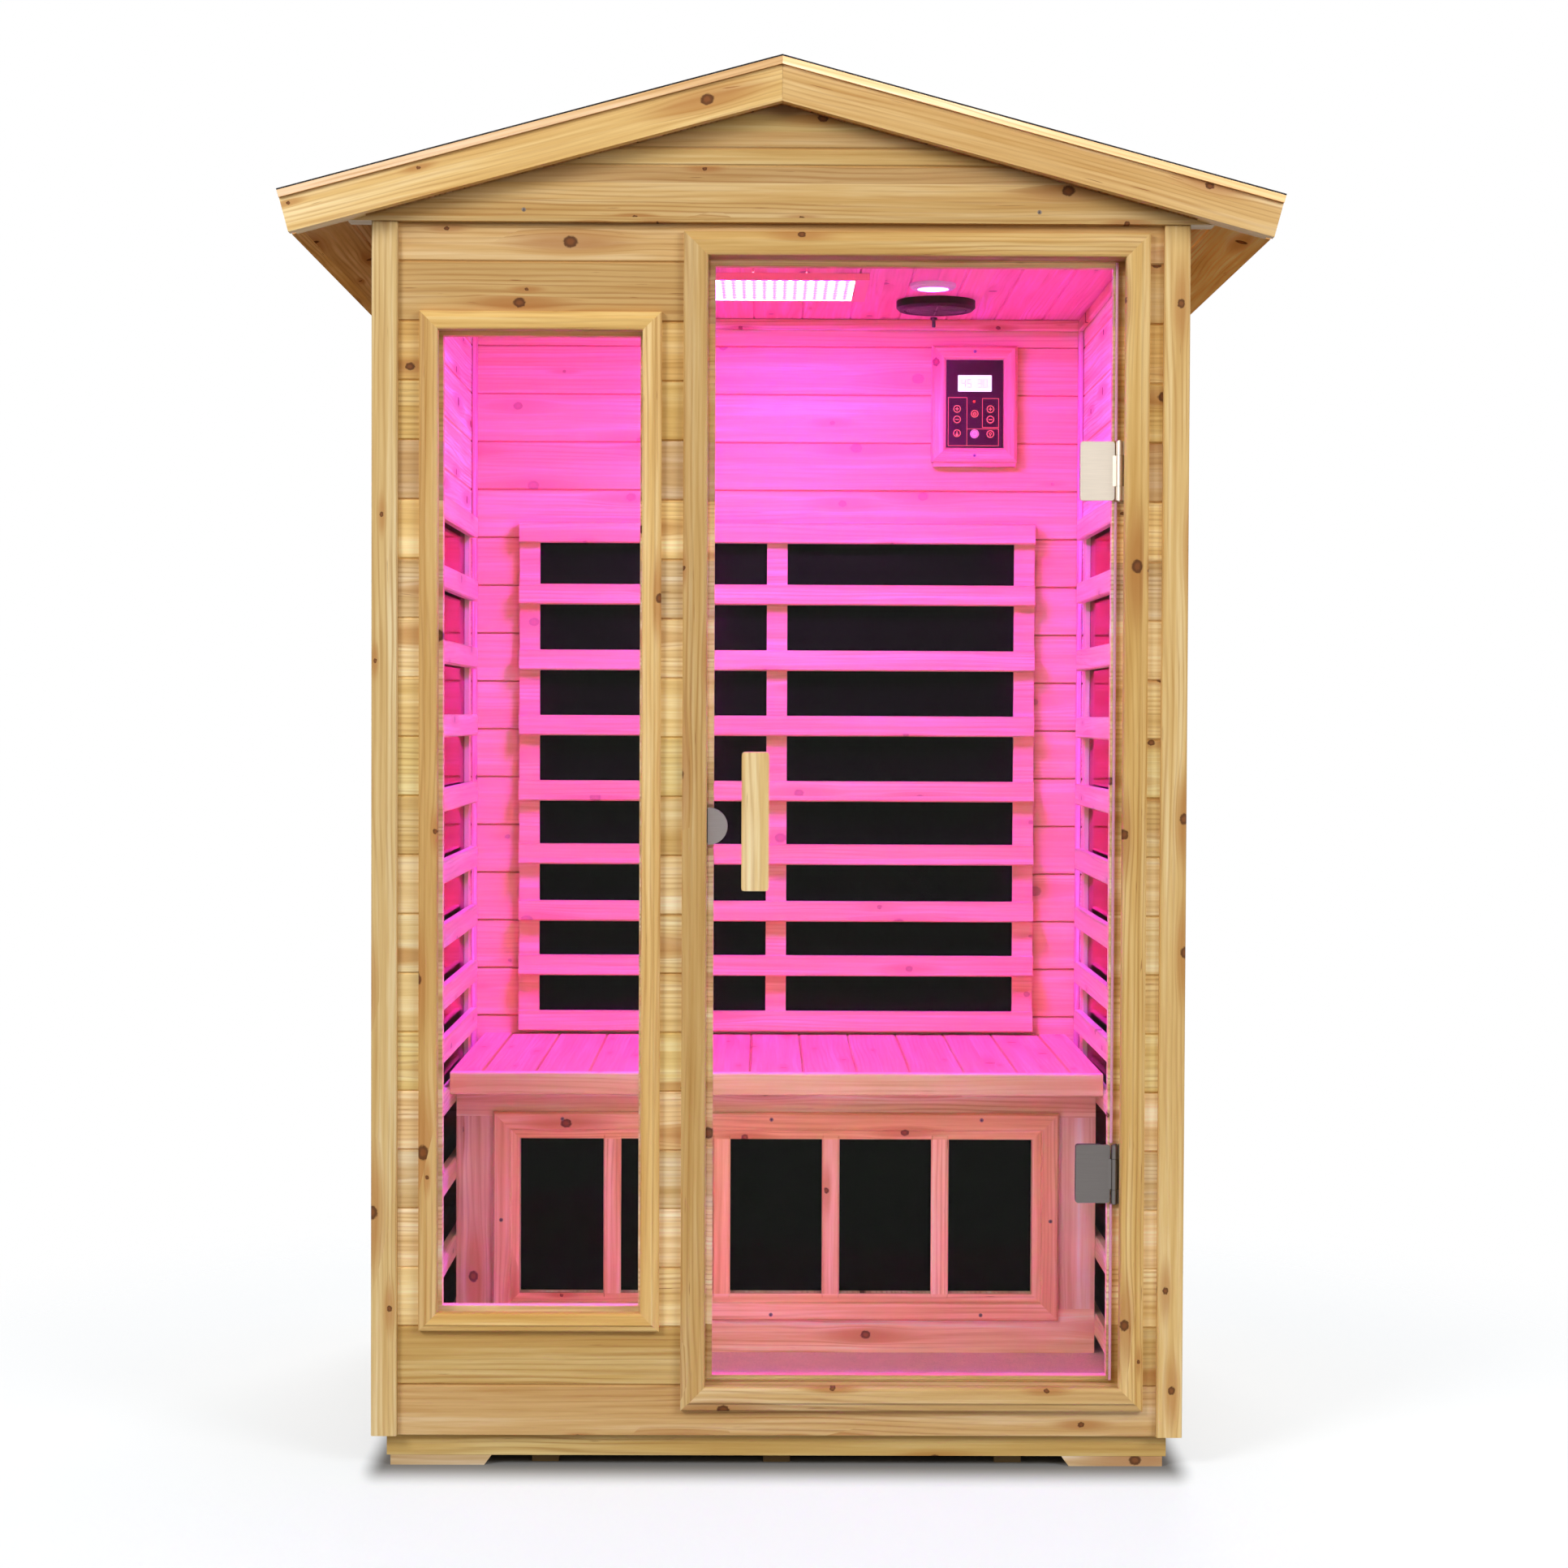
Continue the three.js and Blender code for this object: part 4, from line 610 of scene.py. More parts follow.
def speckled(name, colour, fleck, scale, roughness, specular=0.4, bump=0.2, gloss=WHITE):
    """A fine grain of flecks in one colour over another, for board and moulded plastic."""
    material, g, shader = new_material(name)
    place = g.point()
    fine = g.noise(place, scale, 4.0, 0.7)
    broad = g.noise(place, scale * 0.05, 3.0)
    mixed = g.tint(g.smooth(fine, 0.45, 0.66), colour, fleck)
    g.fill(shader, {
        "Base Color": g.shaded(mixed, g.spread(broad, 0.9, 1.1)),
        "Roughness": g.spread(fine, roughness - 0.08, roughness + 0.08),
        "Specular IOR Level": specular,
        "Specular Tint": gloss,
        "Normal": g.bump(fine, bump, 0.3 * MM),
    })
    return material


def roofing_felt(name):
    """Black felt with mineral grains, weathered in patches, in courses that lap along the eaves."""
    material, g, shader = new_material(name)
    x, y, z = g.place()
    place = g.combine(x, y, z)
    grains = g.noise(place, 420.0, 2.0)
    patches = g.noise(place, 5.0, 4.0)
    ripple = g.noise(g.combine(g.times(x, 6.0), g.times(y, 1.5)), detail=2.0)
    stops = [(0.34, srgb(18, 18, 20)), (0.54, srgb(40, 40, 43)), (0.72, srgb(104, 103, 104))]
    weather = g.spread(g.smooth(patches, 0.3, 0.7), 0.7, 1.3)
    reach = g.times(g.plus(g.math("ABSOLUTE", x), g.times(ripple, 6 * MM)), 1 / FELT_COURSE)
    course = g.minus(reach, g.math("FLOOR", reach))
    lap = g.smooth(course, LAP_SHADOW / FELT_COURSE, 0.0)
    shade = g.times(weather, g.spread(lap, 1.0, 0.35))
    height = g.plus(g.times(grains, 0.5), g.plus(g.times(ripple, 1.5), g.times(course, -2.0)))
    g.fill(shader, {
        "Base Color": g.shaded(g.ramp(grains, stops), shade),
        "Roughness": g.spread(grains, 0.95, 0.75),
        "Specular IOR Level": 0.25,
        "Normal": g.bump(height, 0.6, 0.8 * MM),
    })
    return material


def brushed_steel(name, colour):
    """Steel brushed from left to right."""
    material, g, shader = new_material(name)
    x, y, z = g.place()
    stretched = g.combine(g.times(x, 30.0), g.times(y, 900.0), g.times(z, 2600.0))
    lines = g.noise(stretched, detail=3.0)
    smear = g.noise(g.combine(x, y, z), 26.0, 3.0)
    g.fill(shader, {
        "Base Color": g.shaded(colour, g.spread(lines, 0.82, 1.12)),
        "Metallic": 1.0,
        "Roughness": g.plus(g.spread(lines, 0.22, 0.36), g.times(smear, 0.08)),
        "Normal": g.bump(lines, 0.08, 0.1 * MM),
    })
    return material


def glass(name):
    """Clear float glass with a trace of wiping."""
    material, g, shader = new_material(name)
    x, y, z = g.place()
    wipe = g.noise(g.combine(g.times(x, 5.0), y, g.times(z, 2.0)), 3.0, 4.0)
    g.fill(shader, {
        "Base Color": WHITE,
        "Transmission Weight": 1.0,
        "IOR": 1.45,
        "Specular Tint": (0.1, 0.1, 0.1, 1.0),
        "Roughness": g.times(g.smooth(wipe, 0.55, 0.9), 0.03),
    })
    return material


def dark_glass(name, shine, gloss=WHITE, metal=0.0):
    """A heater panel: near black with a faint woven film under a satin face.

    As a metal it is as black from the front, and its gloss at a flat angle takes the tint.
    """
    material, g, shader = new_material(name)
    place = g.point()
    film = g.noise(place, 700.0, 2.0)
    cloud = g.noise(place, 7.0, 3.0)
    shade = g.plus(g.times(film, 0.0015), g.times(cloud, 0.0015))
    g.fill(shader, {
        # painted light: the black leans green, so that it reads neutral under the cabin's pink light
        "Base Color": g.combine(g.times(shade, 0.4), g.times(shade, 2.0), g.times(shade, 0.15)),
        "Metallic": metal,
        "Roughness": g.spread(cloud, 0.06, 0.16),
        "Specular IOR Level": shine,
        "Specular Tint": gloss,
        "Normal": g.bump(film, 0.02, 0.1 * MM),
    })
    return material


def lamp(name, inside, colour, strength, rim):
    """A lamp that glows where inside says 1, with its cells faintly brighter, in a plastic rim."""
    material, g, shader = new_material(name)
    x, y, z = g.place()
    ripples = [g.math("SINE", g.times(way, 2 * math.pi / CELL_PITCH)) for way in (x, y)]
    cells = g.spread(g.times(*ripples), 1.0, 1.25)
    fine = g.noise(g.combine(x, y, z), 900.0, 2.0)
    g.fill(shader, {
        "Base Color": g.shaded(rim, g.spread(fine, 0.92, 1.05)),
        "Roughness": g.spread(fine, 0.3, 0.45),
        "Emission Color": colour,
        "Emission Strength": g.times(g.times(inside(g, x, y), strength), cells),
        "Normal": g.bump(fine, 0.1, 0.1 * MM),
    })
    return material


def glowing(name, colour, strength, base=None):
    """A small lit surface, a little uneven."""
    material, g, shader = new_material(name)
    fine = g.noise(g.point(), 900.0, 2.0)
    g.fill(shader, {
        "Base Color": base or colour,
        "Roughness": g.spread(fine, 0.25, 0.4),
        "Emission Color": colour,
        "Emission Strength": g.times(g.spread(fine, 0.85, 1.15), strength),
    })
    return material


def in_box(low, high):
    """1 inside a rectangle in X and Y."""
    def inside(g, x, y):
        within = []
        for place, start, end in zip((x, y), low, high):
            away = g.math("ABSOLUTE", g.minus(place, (start + end) / 2))
            within.append(g.math("LESS_THAN", away, (end - start) / 2))
        return g.times(*within)
    return inside


def in_circle(node, radius):
    """1 inside a circle about a node's middle in X and Y."""
    centre = middle(node)

    def inside(g, x, y):
        away = g.length(g.minus(x, centre[0]), g.minus(y, centre[1]))
        return g.math("LESS_THAN", away, radius)
    return inside


def dress(material, *names):
    """Gives CAD nodes a material."""
    for name in names:
        data = NODES[name].data
        data.materials.clear()
        data.materials.append(material)


# Pieces

def join(parts):
    """One list of points and faces from several."""
    points, faces = [], []
    for part_points, part_faces in parts:
        start = len(points)
        points += part_points
        faces += [[start + index for index in face] for face in part_faces]
    return points, faces


def swept(outline, axis, start, end):
    """A closed outline carried along an axis, 0 to 2. Its pairs are in the other two axes, in order."""
    others = [other for other in range(3) if other != axis]
    points = []
    for level in (start, end):
        for pair in outline:
            point = [0.0, 0.0, 0.0]
            point[axis] = level
            point[others[0]], point[others[1]] = pair
            points.append(Vector(point))
    count = len(outline)
    faces = [list(range(count)), list(range(2 * count - 1, count - 1, -1))]
    for index in range(count):
        after = (index + 1) % count
        faces.append([index, index + count, after + count, after])
    return points, faces


def rounded(low, high, radius, steps=3):
    """A rectangle with round corners, from its low and high corners."""
    corners = [
        (high[0] - radius, high[1] - radius, 0.0),
        (low[0] + radius, high[1] - radius, 0.5),
        (low[0] + radius, low[1] + radius, 1.0),
        (high[0] - radius, low[1] + radius, 1.5),
    ]
    outline = []
    for x, y, turn in corners:
        for step in range(steps + 1):
            angle = math.pi * (turn + 0.5 * step / steps)
            outline.append((x + radius * math.cos(angle), y + radius * math.sin(angle)))
    return outline


def turned(profile, centre, axis, segments):
    """A profile of radius and height turned about an axis, a unit vector, from a centre."""
    axis = Vector(axis)
    across = axis.orthogonal().normalized()
    third = axis.cross(across)
    points, rings = [], []
    for radius, height in profile:
        ring = []
        for step in range(segments if radius > 0 else 1):
            angle = 2 * math.pi * step / segments
            spoke = across * math.cos(angle) + third * math.sin(angle)
            ring.append(len(points))
            points.append(Vector(centre) + axis * height + spoke * radius)
        rings.append(ring)
    faces = []
    for lower, upper in zip(rings, rings[1:]):
        for step in range(segments):
            after = (step + 1) % segments
            face = [lower[step % len(lower)], lower[after % len(lower)]]
            face += [upper[after % len(upper)], upper[step % len(upper)]]
            faces.append(list(dict.fromkeys(face)))
    return points, faces


def in_mm(profile):
    """A profile of radius and height in metres, from one in millimetres."""
    return [(radius * MM, height * MM) for radius, height in profile]


def hoop(radius, width, height, centre, axis, segments):
    """A flat ring that stands up from a face."""
    inner, outer = radius - width / 2, radius + width / 2
    profile = [(inner, 0.0), (outer, 0.0), (outer, height), (inner, height), (inner, 0.0)]
    return turned(profile, centre, axis, segments)


def piece(name, parts, material, body):
    """A mesh piece in the frame of the model that rides on a body."""
    points, faces = join(parts)
    mesh = bpy.data.meshes.new(name)
    mesh.from_pydata([tuple(point) for point in points], [], faces)
    mesh.validate()
    work = bmesh.new()
    work.from_mesh(mesh)
    bmesh.ops.remove_doubles(work, verts=work.verts, dist=1e-7)
    bmesh.ops.recalc_face_normals(work, faces=work.faces)
    work.to_mesh(mesh)
    work.free()
    mesh.shade_smooth()
    mesh.set_sharp_from_angle(angle=math.radians(35))
    mesh.materials.append(material)
    made = bpy.data.objects.new(name, mesh)
    bpy.context.scene.collection.objects.link(made)
    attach(made, body)


# Looks of the CAD nodes

def clad(name, layout, seed, *nodes, **looks):
    """Gives CAD nodes a fir of their own, in the tone of its name."""
    looks.setdefault("tone", TONES.get(name))
    dress(wood("fir_" + name, layout, seed, **looks), *nodes)


def dress_shell():
    """Fir on the walls, gables, ceiling, roof, casings and base."""
    bottom, top = [OUTER_FIRST + row * BOARD_PITCH for row in SHORT_ROWS]
    # The short boards beside the window and the door take a paler tone: partly their own, partly
    # painted light that offsets the shade the casings and posts cast on them.
    short = both(where(2, "GREATER_THAN", bottom), where(2, "LESS_THAN", top))
    clad("front", boards("x", "z", first=OUTER_FIRST), 3, "front_wall", pale=short)
    inner_face = where(1, "LESS_THAN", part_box("back_wall")[0][1] + 4 * MM)
    seams = joint_lines(INNER_FIRST, inner_face)
    back = boards("x", "z", first=INNER_FIRST)
    clad("back", back, 29, "back_wall", calm=inner_face, joints=seams)
    room = where(0, "LESS_THAN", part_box("right_heater_panel")[1][0] + 1 * MM, either_way=True)
    for name, seed in (("left", 141), ("right", 211)):
        clad(name, side_wall(OUTER_FIRST), seed, name + "_wall", pale=room, pale_tone=ROOM_PAINTED_LIGHT_TONE)
    clad("gable", boards("x", "z", GABLE_PITCH, GABLE_FIRST), 307, "gable_front", "gable_back")
    clad("ceiling", boards("y", "x"), 401, "ceiling", calm=everywhere)
    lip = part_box("roof_slope_left")[1][1] - 2 * MM
    ends = where(1, "GREATER_THAN", lip, either_way=True)
    for name, side, seed, fascia_seed in (("left", -1, 503, 601), ("right", 1, 547, 653)):
        clad("roof_" + name, roof_plan(side), seed, "roof_slope_" + name, pale=ends, shine=0.0)
        nodes = ["fascia_front_" + name, "fascia_back_" + name]
        clad("fascia_" + name, sloped(side), fascia_seed, *nodes)
    clad("window_casing", mitred("window_casing"), 701, "window_casing")
    clad("door_casing", mitred("door_casing"), 727, "door_casing")
    clad("base", boards("x", "z", WHOLE), 787, "base_frame", raw_below=RUNNER_TOP)
    for number, corner in enumerate(("front_left", "front_right", "back_left", "back_right")):
        name = "foot_" + corner
        clad(name, boards("x", "z", WHOLE), 811 + 7 * number, name, tone=TONES["foot"])


def dress_room():
    """Fir on the bench, the heater guards, the control frame and the handles."""
    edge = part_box("bench_seat")[0][1] + NOSING_DEPTH
    seat = with_nosing(boards("y", "x"), edge)
    clad("seat", seat, 853, "bench_seat", pale=where(1, "LESS_THAN", edge), calm=everywhere)
    clad("skirt", skirt_plan(), 907, "bench_skirt")
    clad("calf_guard", calf_plan(), 953, "calf_heater_guard")
    back = guard("x", "y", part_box("back_wall")[0][1] - STILE_FRONT)
    clad("back_guard", back, 1009, "back_heater_guard", calm=everywhere)
    side = guard("y", "x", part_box("right_heater_panel")[1][0] - STILE_FRONT)
    for name, seed in (("left", 1103), ("right", 1201)):
        clad(name + "_guard", side, seed, name + "_heater_guard", calm=everywhere)
    clad("control", mitred("keypad"), 1301, "control_frame")
    upright = boards("z", "x", WHOLE, -WHOLE / 2)
    clad("handles", upright, 773, "handle_outer", "handle_inner", bump=0.5)


def dress_fittings():
    """The floor, felt, glass, heaters, steel, plastic and lamps."""
    floor = speckled("floor_sheet", srgb(252, 206, 200), srgb(200, 160, 160), 900.0, 0.6)
    dress(floor, "floor_board")
    dress(roofing_felt("roof_felt"), "roof_felt")
    dress(glass("clear_glass"), "door_glass", "window_glass")
    dress(dark_glass("heater_film", 0.03), "back_heater_panel", "calf_heater_panel")
    side_film = dark_glass("heater_film_side", 0.5, SIDE_HEATER_GLOSS, 1.0)
    dress(side_film, "left_heater_panel", "right_heater_panel")
    # The two hinges are one steel: the upper one's pale colour and the lower one's dark colour are
    # painted reflections, a lit and a shaded copy.
    hinge_steel = {
        "upper": brushed_steel("steel_painted_lit", srgb(222, 209, 193)),
        "lower": brushed_steel("steel_painted_shade", srgb(118, 113, 111)),
    }
    for place, steel in hinge_steel.items():
        for part in ("glass_leaf", "clamp_plate", "frame_leaf", "pin"):
            dress(steel, place + "_hinge_" + part)
    dress(brushed_steel("steel_dull", srgb(150, 142, 140)), "catch_plate")
    magnet = speckled("magnet", srgb(58, 56, 56), srgb(84, 82, 82), 1500.0, 0.5, bump=0.3)
    dress(magnet, "catch_magnet")
    black = speckled(
        "black_plastic", srgb(14, 9, 3), srgb(21, 14, 5), 2200.0, 0.5, 0.1, 0.25, KEYPAD_GLOSS)
    dress(black, "speaker", "keypad")
    key_black = speckled(
        "key_plastic", srgb(15, 9, 3), srgb(22, 14, 5), 2600.0, 0.42, 0.1, 0.15, KEYPAD_GLOSS)
    dress(key_black, *KEYS)
    key_pale = speckled("key_pale", srgb(206, 190, 196), srgb(226, 214, 218), 2600.0, 0.4)
    dress(key_pale, "key_colour_light")
    panel = lamp("light_panel", in_box(*DIFFUSER), DIFFUSER_WHITE, DIFFUSER_LEVEL, PANEL_RIM_PAINTED_PINK)
    dress(panel, "light_panel")
    for name, level in (("colour_lamp", COLOUR_LAMP_LEVEL), ("reading_lamp", 0.0)):
        bulb = in_circle(name, BULB_RADIUS)
        dress(lamp(name, bulb, COLOUR_LAMP_TINT, level, WHITE_PLASTIC), name)


# Pieces beside the CAD nodes

def add_trims():
    """Strips in the corners of the room: two upright at the back and three under the ceiling."""
    upright_fir = wood("fir_trims_upright", boards("z", "x", TRIM_PITCH), 1409, tone=TRIM_PAINTED_LIGHT_TONE)
    back_fir = wood("fir_trims_back", boards("x", "z", WHOLE), 1423, tone=TRIM_PAINTED_LIGHT_TONE)
    side_fir = wood("fir_trims_side", boards("y", "x", TRIM_PITCH), 1439, tone=TRIM_PAINTED_LIGHT_TONE)
    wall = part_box("right_heater_panel")[1][0]
    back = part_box("back_wall")[0][1]
    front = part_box("front_wall")[1][1]
    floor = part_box("floor_board")[1][2]
    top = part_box("ceiling")[0][2]
    strip, cornice, gap, radius = 10 * MM, 20 * MM, 0.3 * MM, 2.5 * MM
    under = top - cornice - gap
    for side, name in ((-1, "left"), (1, "right")):
        across = sorted((side * (wall - strip), side * (wall - gap)))
        upright = rounded((across[0], back - strip), (across[1], back - gap), radius)
        corner = swept(upright, 2, floor + gap, under)
        piece("trim_corner_" + name, [corner], upright_fir, "cabin")
        crown = rounded((across[0], top - cornice), (across[1], top - gap), radius)
        along = swept(crown, 1, front + gap, back - gap)
        piece("trim_crown_" + name, [along], side_fir, "cabin")
    crown = rounded((back - strip, top - cornice), (back - gap, top - gap), radius)
    reach = wall - strip - gap
    piece("trim_crown_back", [swept(crown, 0, -reach, reach)], back_fir, "cabin")


def screw_places():
    """The middle of every screw, on the face that it is driven into."""
    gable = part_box("gable_front")[0][1]
    low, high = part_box("calf_heater_guard")
    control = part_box("control_frame")[0][1]
    pad_low, pad_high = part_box("keypad")
    places = [(side * GABLE_SCREW[0], gable, GABLE_SCREW[1]) for side in (-1, 1)]
    for height in (high[2] - 11 * MM, low[2] + 10 * MM):
        places += [(x, low[1], height) for x in CALF_SCREWS]
    places += [(side * CALF_SIDE_SCREW[0], low[1], CALF_SIDE_SCREW[1]) for side in (-1, 1)]
    for height in (pad_high[2] + CONTROL_SCREW, pad_low[2] - CONTROL_SCREW):
        places.append((middle("keypad")[0], control, height))
    return places


def add_screws():
    """Cross-head screws in the front gable, the calf guard and the control frame."""
    length, width = SCREW_CROSS
    heads, slots = [], []
    for x, y, z in screw_places():
        heads.append(turned(in_mm(SCREW_HEAD), (x, y, z), FRONT, 20))
        for half_x, half_z in ((length, width), (width, length)):
            cross = rounded((x - half_x, z - half_z), (x + half_x, z + half_z), 0.2 * MM)
            slots.append(swept(cross, 1, y - 0.75 * MM, y - 0.4 * MM))
    steel = speckled("screw_steel", srgb(128, 108, 92), srgb(150, 132, 116), 2200.0, 0.35, 0.5, 0.1)
    piece("screw_heads", heads, steel, "cabin")
    dark = speckled("screw_shadow", srgb(34, 30, 28), srgb(48, 44, 40), 2000.0, 0.7)
    piece("screw_slots", slots, dark, "cabin")


def add_light_cells():
    """Rows of small lenses over the light panel's diffuser."""
    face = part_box("light_panel")[0][2] + 1.5 * MM
    centre = middle("light_panel")
    lenses = []
    for column in range(LENS_COLUMNS):
        x = (column - (LENS_COLUMNS - 1) / 2) * CELL_PITCH
        for row in range(LENS_ROWS):
            y = centre[1] + (row - (LENS_ROWS - 1) / 2) * CELL_PITCH
            lenses.append(turned(in_mm(LENS), (x, y, face), DOWN, 10))
    glow = glowing("lens_glow", PANEL_COLOUR, PANEL_LEVEL)
    piece("light_panel_lenses", lenses, glow, "cabin")


def add_speaker_grille():
    """Fine rings and ribs over the speaker's cone."""
    centre = (*middle("speaker")[:2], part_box("speaker")[0][2] + 1.5 * MM)
    rings = []
    for radius in range(6, 54, 4):
        rings.append(hoop(radius * MM, 1.6 * MM, 1.2 * MM, centre, DOWN, 40))
    ribs = []
    rib = rounded((5 * MM, -0.8 * MM), (53 * MM, 0.8 * MM), 0.4 * MM)
    for step in range(8):
        points, faces = swept(rib, 2, -1.4 * MM, 0.0)
        turn = Matrix.Translation(centre) @ Matrix.Rotation(math.pi * step / 4, 4, "Z")
        ribs.append(([turn @ point for point in points], faces))
    black = speckled("grille_black", srgb(20, 20, 22), srgb(44, 44, 48), 2600.0, 0.35, 0.5, 0.2)
    piece("speaker_grille", rings + ribs, black, "cabin")


def bar(face, x, z, width, height, proud=MARK_HEIGHT):
    """A flat mark on a face that looks along -Y."""
    low, high = (x - width / 2, z - height / 2), (x + width / 2, z + height / 2)
    outline = rounded(low, high, min(width, height) * 0.3, 2)
    return swept(outline, 1, face - proud, face)


def outline_box(face, low, high, width=0.55 * MM):
    """Four thin lines round a rectangle."""
    centre = [(start + end) / 2 for start, end in zip(low, high)]
    size = [end - start for start, end in zip(low, high)]
    level = [bar(face, centre[0], z, size[0] + width, width) for z in (low[1], high[1])]
    upright = [bar(face, x, centre[1], width, size[1] - width) for x in (low[0], high[0])]
    return level + upright


def arc_marks(face, x, z, radius, start, end, count, width):
    """Short bars set round part of a circle."""
    marks = []
    for step in range(count):
        angle = math.radians(start + (end - start) * step / (count - 1))
        across, up = radius * math.cos(angle), radius * math.sin(angle)
        marks.append(bar(face, x + across, z + up, width, width))
    return marks


def key_symbol(name, face, x, z):
    """The plain sign on a key."""
    thin, long = 1.1 * MM, 6.4 * MM
    level = bar(face, x, z, long, thin)
    upright = bar(face, x, z, thin, long)
    if name.endswith("_up"):
        return [level, upright]
    if name.endswith("_down"):
        return [level]
    if name == "power":
        stem = bar(face, x, z + 1.8 * MM, thin, 3.2 * MM)
        return [stem] + arc_marks(face, x, z - 0.3 * MM, 2.6 * MM, 130, 410, 26, thin)
    if name == "temperature_unit":
        return [upright, hoop(1.5 * MM, 1.4 * MM, MARK_HEIGHT, (x, face, z - 2.6 * MM), FRONT, 16)]
    if name == "colour_light":
        rings = []
        for angle in (90, 210, 330):
            turn = math.radians(angle)
            spot = (x + 1.6 * MM * math.cos(turn), face, z + 1.6 * MM * math.sin(turn))
            rings.append(hoop(1.5 * MM, 0.5 * MM, MARK_HEIGHT, spot, FRONT, 16))
        return rings
    bulb = hoop(2.0 * MM, 0.6 * MM, MARK_HEIGHT, (x, face, z + 0.8 * MM), FRONT, 18)
    cap = bar(face, x, z - 2.4 * MM, 2.0 * MM, 0.7 * MM)
    tip = bar(face, x, z - 3.5 * MM, 1.4 * MM, 0.6 * MM)
    return [bulb, cap, tip]


def digit(face, sign, x, z, half_width, half_height):
    """A seven-segment digit."""
    thin = 0.9 * MM
    marks = []
    for letter in SEGMENTS[sign]:
        across, up, level = SEGMENT_PLACES[letter]
        size = (2 * half_width - thin, thin) if level else (thin, half_height - thin)
        place = (x + across * half_width, z + up * half_height)
        marks.append(bar(face, *place, *size, 0.1 * MM))
    return marks


def add_display(recess, x, z):
    """The lit display in its recess, with four digits on it."""
    half_x, half_z = DISPLAY_HALF
    face = recess - 0.5 * MM
    screen = rounded((x - half_x, z - half_z), (x + half_x, z + half_z), 1.5 * MM)
    glow = glowing("display_glow", srgb(236, 240, 255), 0.95)
    piece("display", [swept(screen, 1, face, recess - 0.02 * MM)], glow, "cabin")
    digits = []
    for sign, place in DISPLAY_DIGITS:
        digits += digit(face, sign, x + place * MM, z, 3.4 * MM, 7.0 * MM)
    grey = speckled("display_digits", srgb(120, 126, 150), srgb(136, 142, 164), 2000.0, 0.5)
    piece("display_digits", digits, grey, "cabin")


def add_keypad_marks():
    """The display, the signal light, outlines and the signs on the keys."""
    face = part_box("keypad")[0][1]
    x, _, z = middle("keypad")
    # The red print also glows, though it is no lamp: a painted glow.
    print_painted_glow = glowing("keypad_print_painted_glow", srgb(255, 104, 122), 1.2, srgb(120, 40, 16))
    lines = []
    for corners in KEY_GROUPS:
        lines += outline_box(face, *[(x + across * MM, z + up * MM) for across, up in corners])
    piece("keypad_outlines", lines, print_painted_glow, "cabin")
    add_display(face + DISPLAY_RECESS, x, z + DISPLAY_UP)
    signal = turned(in_mm(SIGNAL_DOME), (x - 1 * MM, face, z + 4 * MM), FRONT, 16)
    signal_red = glowing("signal_red", srgb(255, 46, 30), 2.2)
    piece("signal_light", [signal], signal_red, "cabin")
    for node in KEYS:
        body = node[len("key_"):]
        key_x, _, key_z = middle(node)
        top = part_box(node)[0][1] + 0.1 * MM
        marks = [hoop(6.1 * MM, 1.1 * MM, 0.14 * MM, (key_x, top, key_z), FRONT, 32)]
        marks += key_symbol(body, top, key_x, key_z)
        piece("sign_" + body, marks, print_painted_glow, body)


def add_glass_strip():
    """The pale pink seal on the hinge edge of the door, broken at the hinges; its pink is painted light
    from the cabin.
    """
    low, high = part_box("door_glass")
    near = (high[0] + 0.2 * MM, low[1] + 0.4 * MM)
    far = (high[0] + 4.4 * MM, high[1] - 0.4 * MM)
    outline = rounded(near, far, 1.2 * MM)
    stops = [low[2]]
    for name in ("lower", "upper"):
        leaf_low, leaf_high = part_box(name + "_hinge_frame_leaf")
        stops += [leaf_low[2] - HINGE_GAP, leaf_high[2] + HINGE_GAP]
    stops.append(high[2])
    lengths = [swept(outline, 2, start, end) for start, end in zip(stops[::2], stops[1::2])]
    # painted light: the seal's pink stands for the cabin's pink light through the glass
    seal = speckled("seal_painted_pink_light", srgb(248, 176, 212), srgb(255, 196, 224), 800.0, 0.35, 0.5, 0.1)
    piece("door_seal", lengths, seal, "door")


def add_sensor():
    """The temperature probe that hangs from the ceiling by the back wall."""
    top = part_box("ceiling")[0][2] - 0.2 * MM
    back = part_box("back_wall")[0][1]
    probe = turned(in_mm(PROBE), (PROBE_X, back - PROBE_FROM_BACK, top), DOWN, 20)
    dark = speckled("probe_dark", srgb(48, 36, 44), srgb(70, 56, 64), 1800.0, 0.4)
    piece("temperature_probe", [probe], dark, "cabin")


# Studio

def make_surround():
    """A pale surround, white where the camera sees it."""
    world = bpy.data.worlds.new("studio")
    bpy.context.scene.world = world
    world.use_nodes = True
    g = Graph(world.node_tree)
    background = world.node_tree.nodes["Background"]
    up = g.separate(g.add("ShaderNodeTexCoord").outputs["Generated"])[2]
    level = g.pick(g.smooth(up, *HORIZON), WORLD_BELOW, WORLD_LEVEL)
    g.fill(background, {"Color": WHITE, "Strength": g.pick(g.seen(), level, 1.0)})


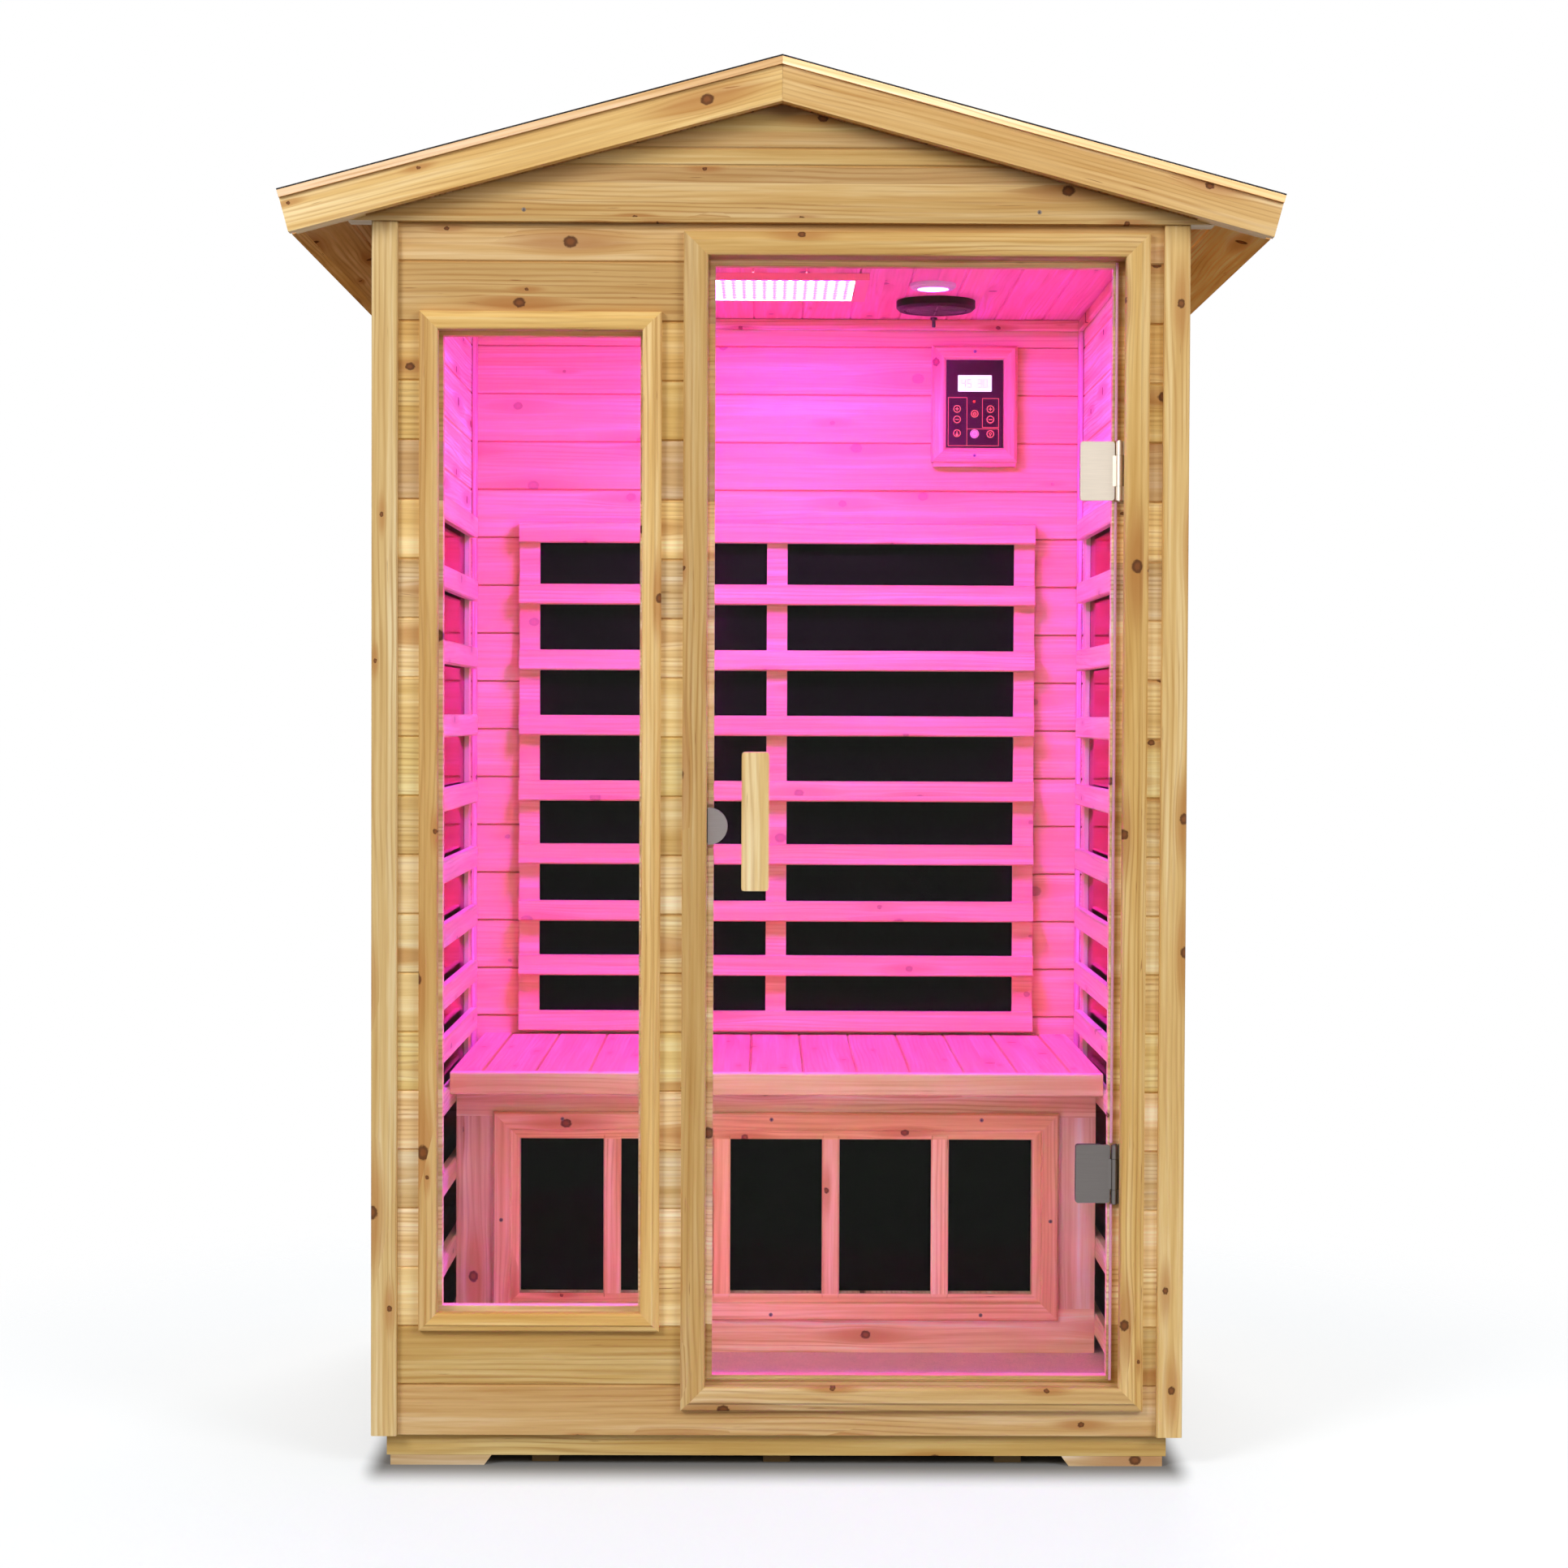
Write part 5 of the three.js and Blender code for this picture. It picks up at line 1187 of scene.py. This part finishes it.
def lay_floor():
    """A pale floor that glows a little, but less at the cabin's foot, and fades out at its rim; at the
    foot a painted shadow darkens its grey.
    """
    bpy.ops.mesh.primitive_circle_add(vertices=96, radius=FLOOR_RADIUS, fill_type="NGON")
    floor = bpy.context.object
    floor.name = "studio_floor"
    material, g, shader = new_material("studio_floor")
    x, y, z = g.place()
    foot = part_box("base_frame")[1]
    beside = g.math("MAXIMUM", g.minus(g.math("ABSOLUTE", x), foot[0]), 0.0)
    before = g.math("MAXIMUM", g.minus(g.math("ABSOLUTE", y), foot[1]), 0.0)
    away = g.length(g.times(beside, CONTACT_SIDES), before)
    # Near the foot the floor loses its glow and its grey darkens: a painted shadow over the real shade
    # there.
    clear = g.smooth(away, 0.0, CONTACT_WIDTH)
    cloud = g.noise(g.combine(x, y), 1.5, 2.0)
    level = g.times(g.spread(cloud, *FLOOR_GREY), g.spread(clear, CONTACT_PAINTED_SHADOW, 1.0))
    g.fill(shader, {
        "Base Color": g.combine(level, level, level),
        "Roughness": 0.9,
        "Specular IOR Level": 0.0,
        "Alpha": g.smooth(g.length(x, y), FLOOR_RADIUS, FLOOR_FADE),
        "Emission Color": FLOOR_GLOW_TINT,
        "Emission Strength": g.times(g.times(g.seen(), clear), FLOOR_GLOW),
    })
    floor.data.materials.append(material)


def hang_lamps():
    """Soft round lamps that look at the cabin."""
    for name, (place, size, watts) in LAMPS.items():
        data = bpy.data.lights.new(name, "AREA")
        data.shape = "DISK"
        data.size = size
        data.energy = watts
        made = bpy.data.objects.new(name, data)
        made.location = place
        made.rotation_euler = (LAMP_TARGET - Vector(place)).to_track_quat("-Z", "Y").to_euler()
        bpy.context.scene.collection.objects.link(made)


def place_camera():
    """The photograph's camera."""
    pitch, yaw, roll = CAMERA_TURN
    ahead = Vector((math.sin(yaw), math.cos(yaw), 0.0))
    forward = ahead * math.cos(pitch) - Vector((0.0, 0.0, math.sin(pitch)))
    level = Vector((math.cos(yaw), -math.sin(yaw), 0.0))
    upward = level.cross(forward)
    right = level * math.cos(roll) + upward * math.sin(roll)
    up = upward * math.cos(roll) - level * math.sin(roll)
    data = bpy.data.cameras.new("camera")
    data.lens = CAMERA_LENS
    data.sensor_width = CAMERA_SENSOR
    camera = bpy.data.objects.new("camera", data)
    turn = Matrix((right, up, -forward)).transposed().to_4x4()
    camera.matrix_world = Matrix.Translation(CAMERA_PLACE) @ turn
    bpy.context.scene.collection.objects.link(camera)
    bpy.context.scene.camera = camera


bpy.context.scene.view_settings.view_transform = "Standard"
place_camera()
make_surround()
lay_floor()
hang_lamps()
dress_shell()
dress_room()
dress_fittings()
add_trims()
add_screws()
add_light_cells()
add_speaker_grille()
add_keypad_marks()
add_glass_strip()
add_sensor()
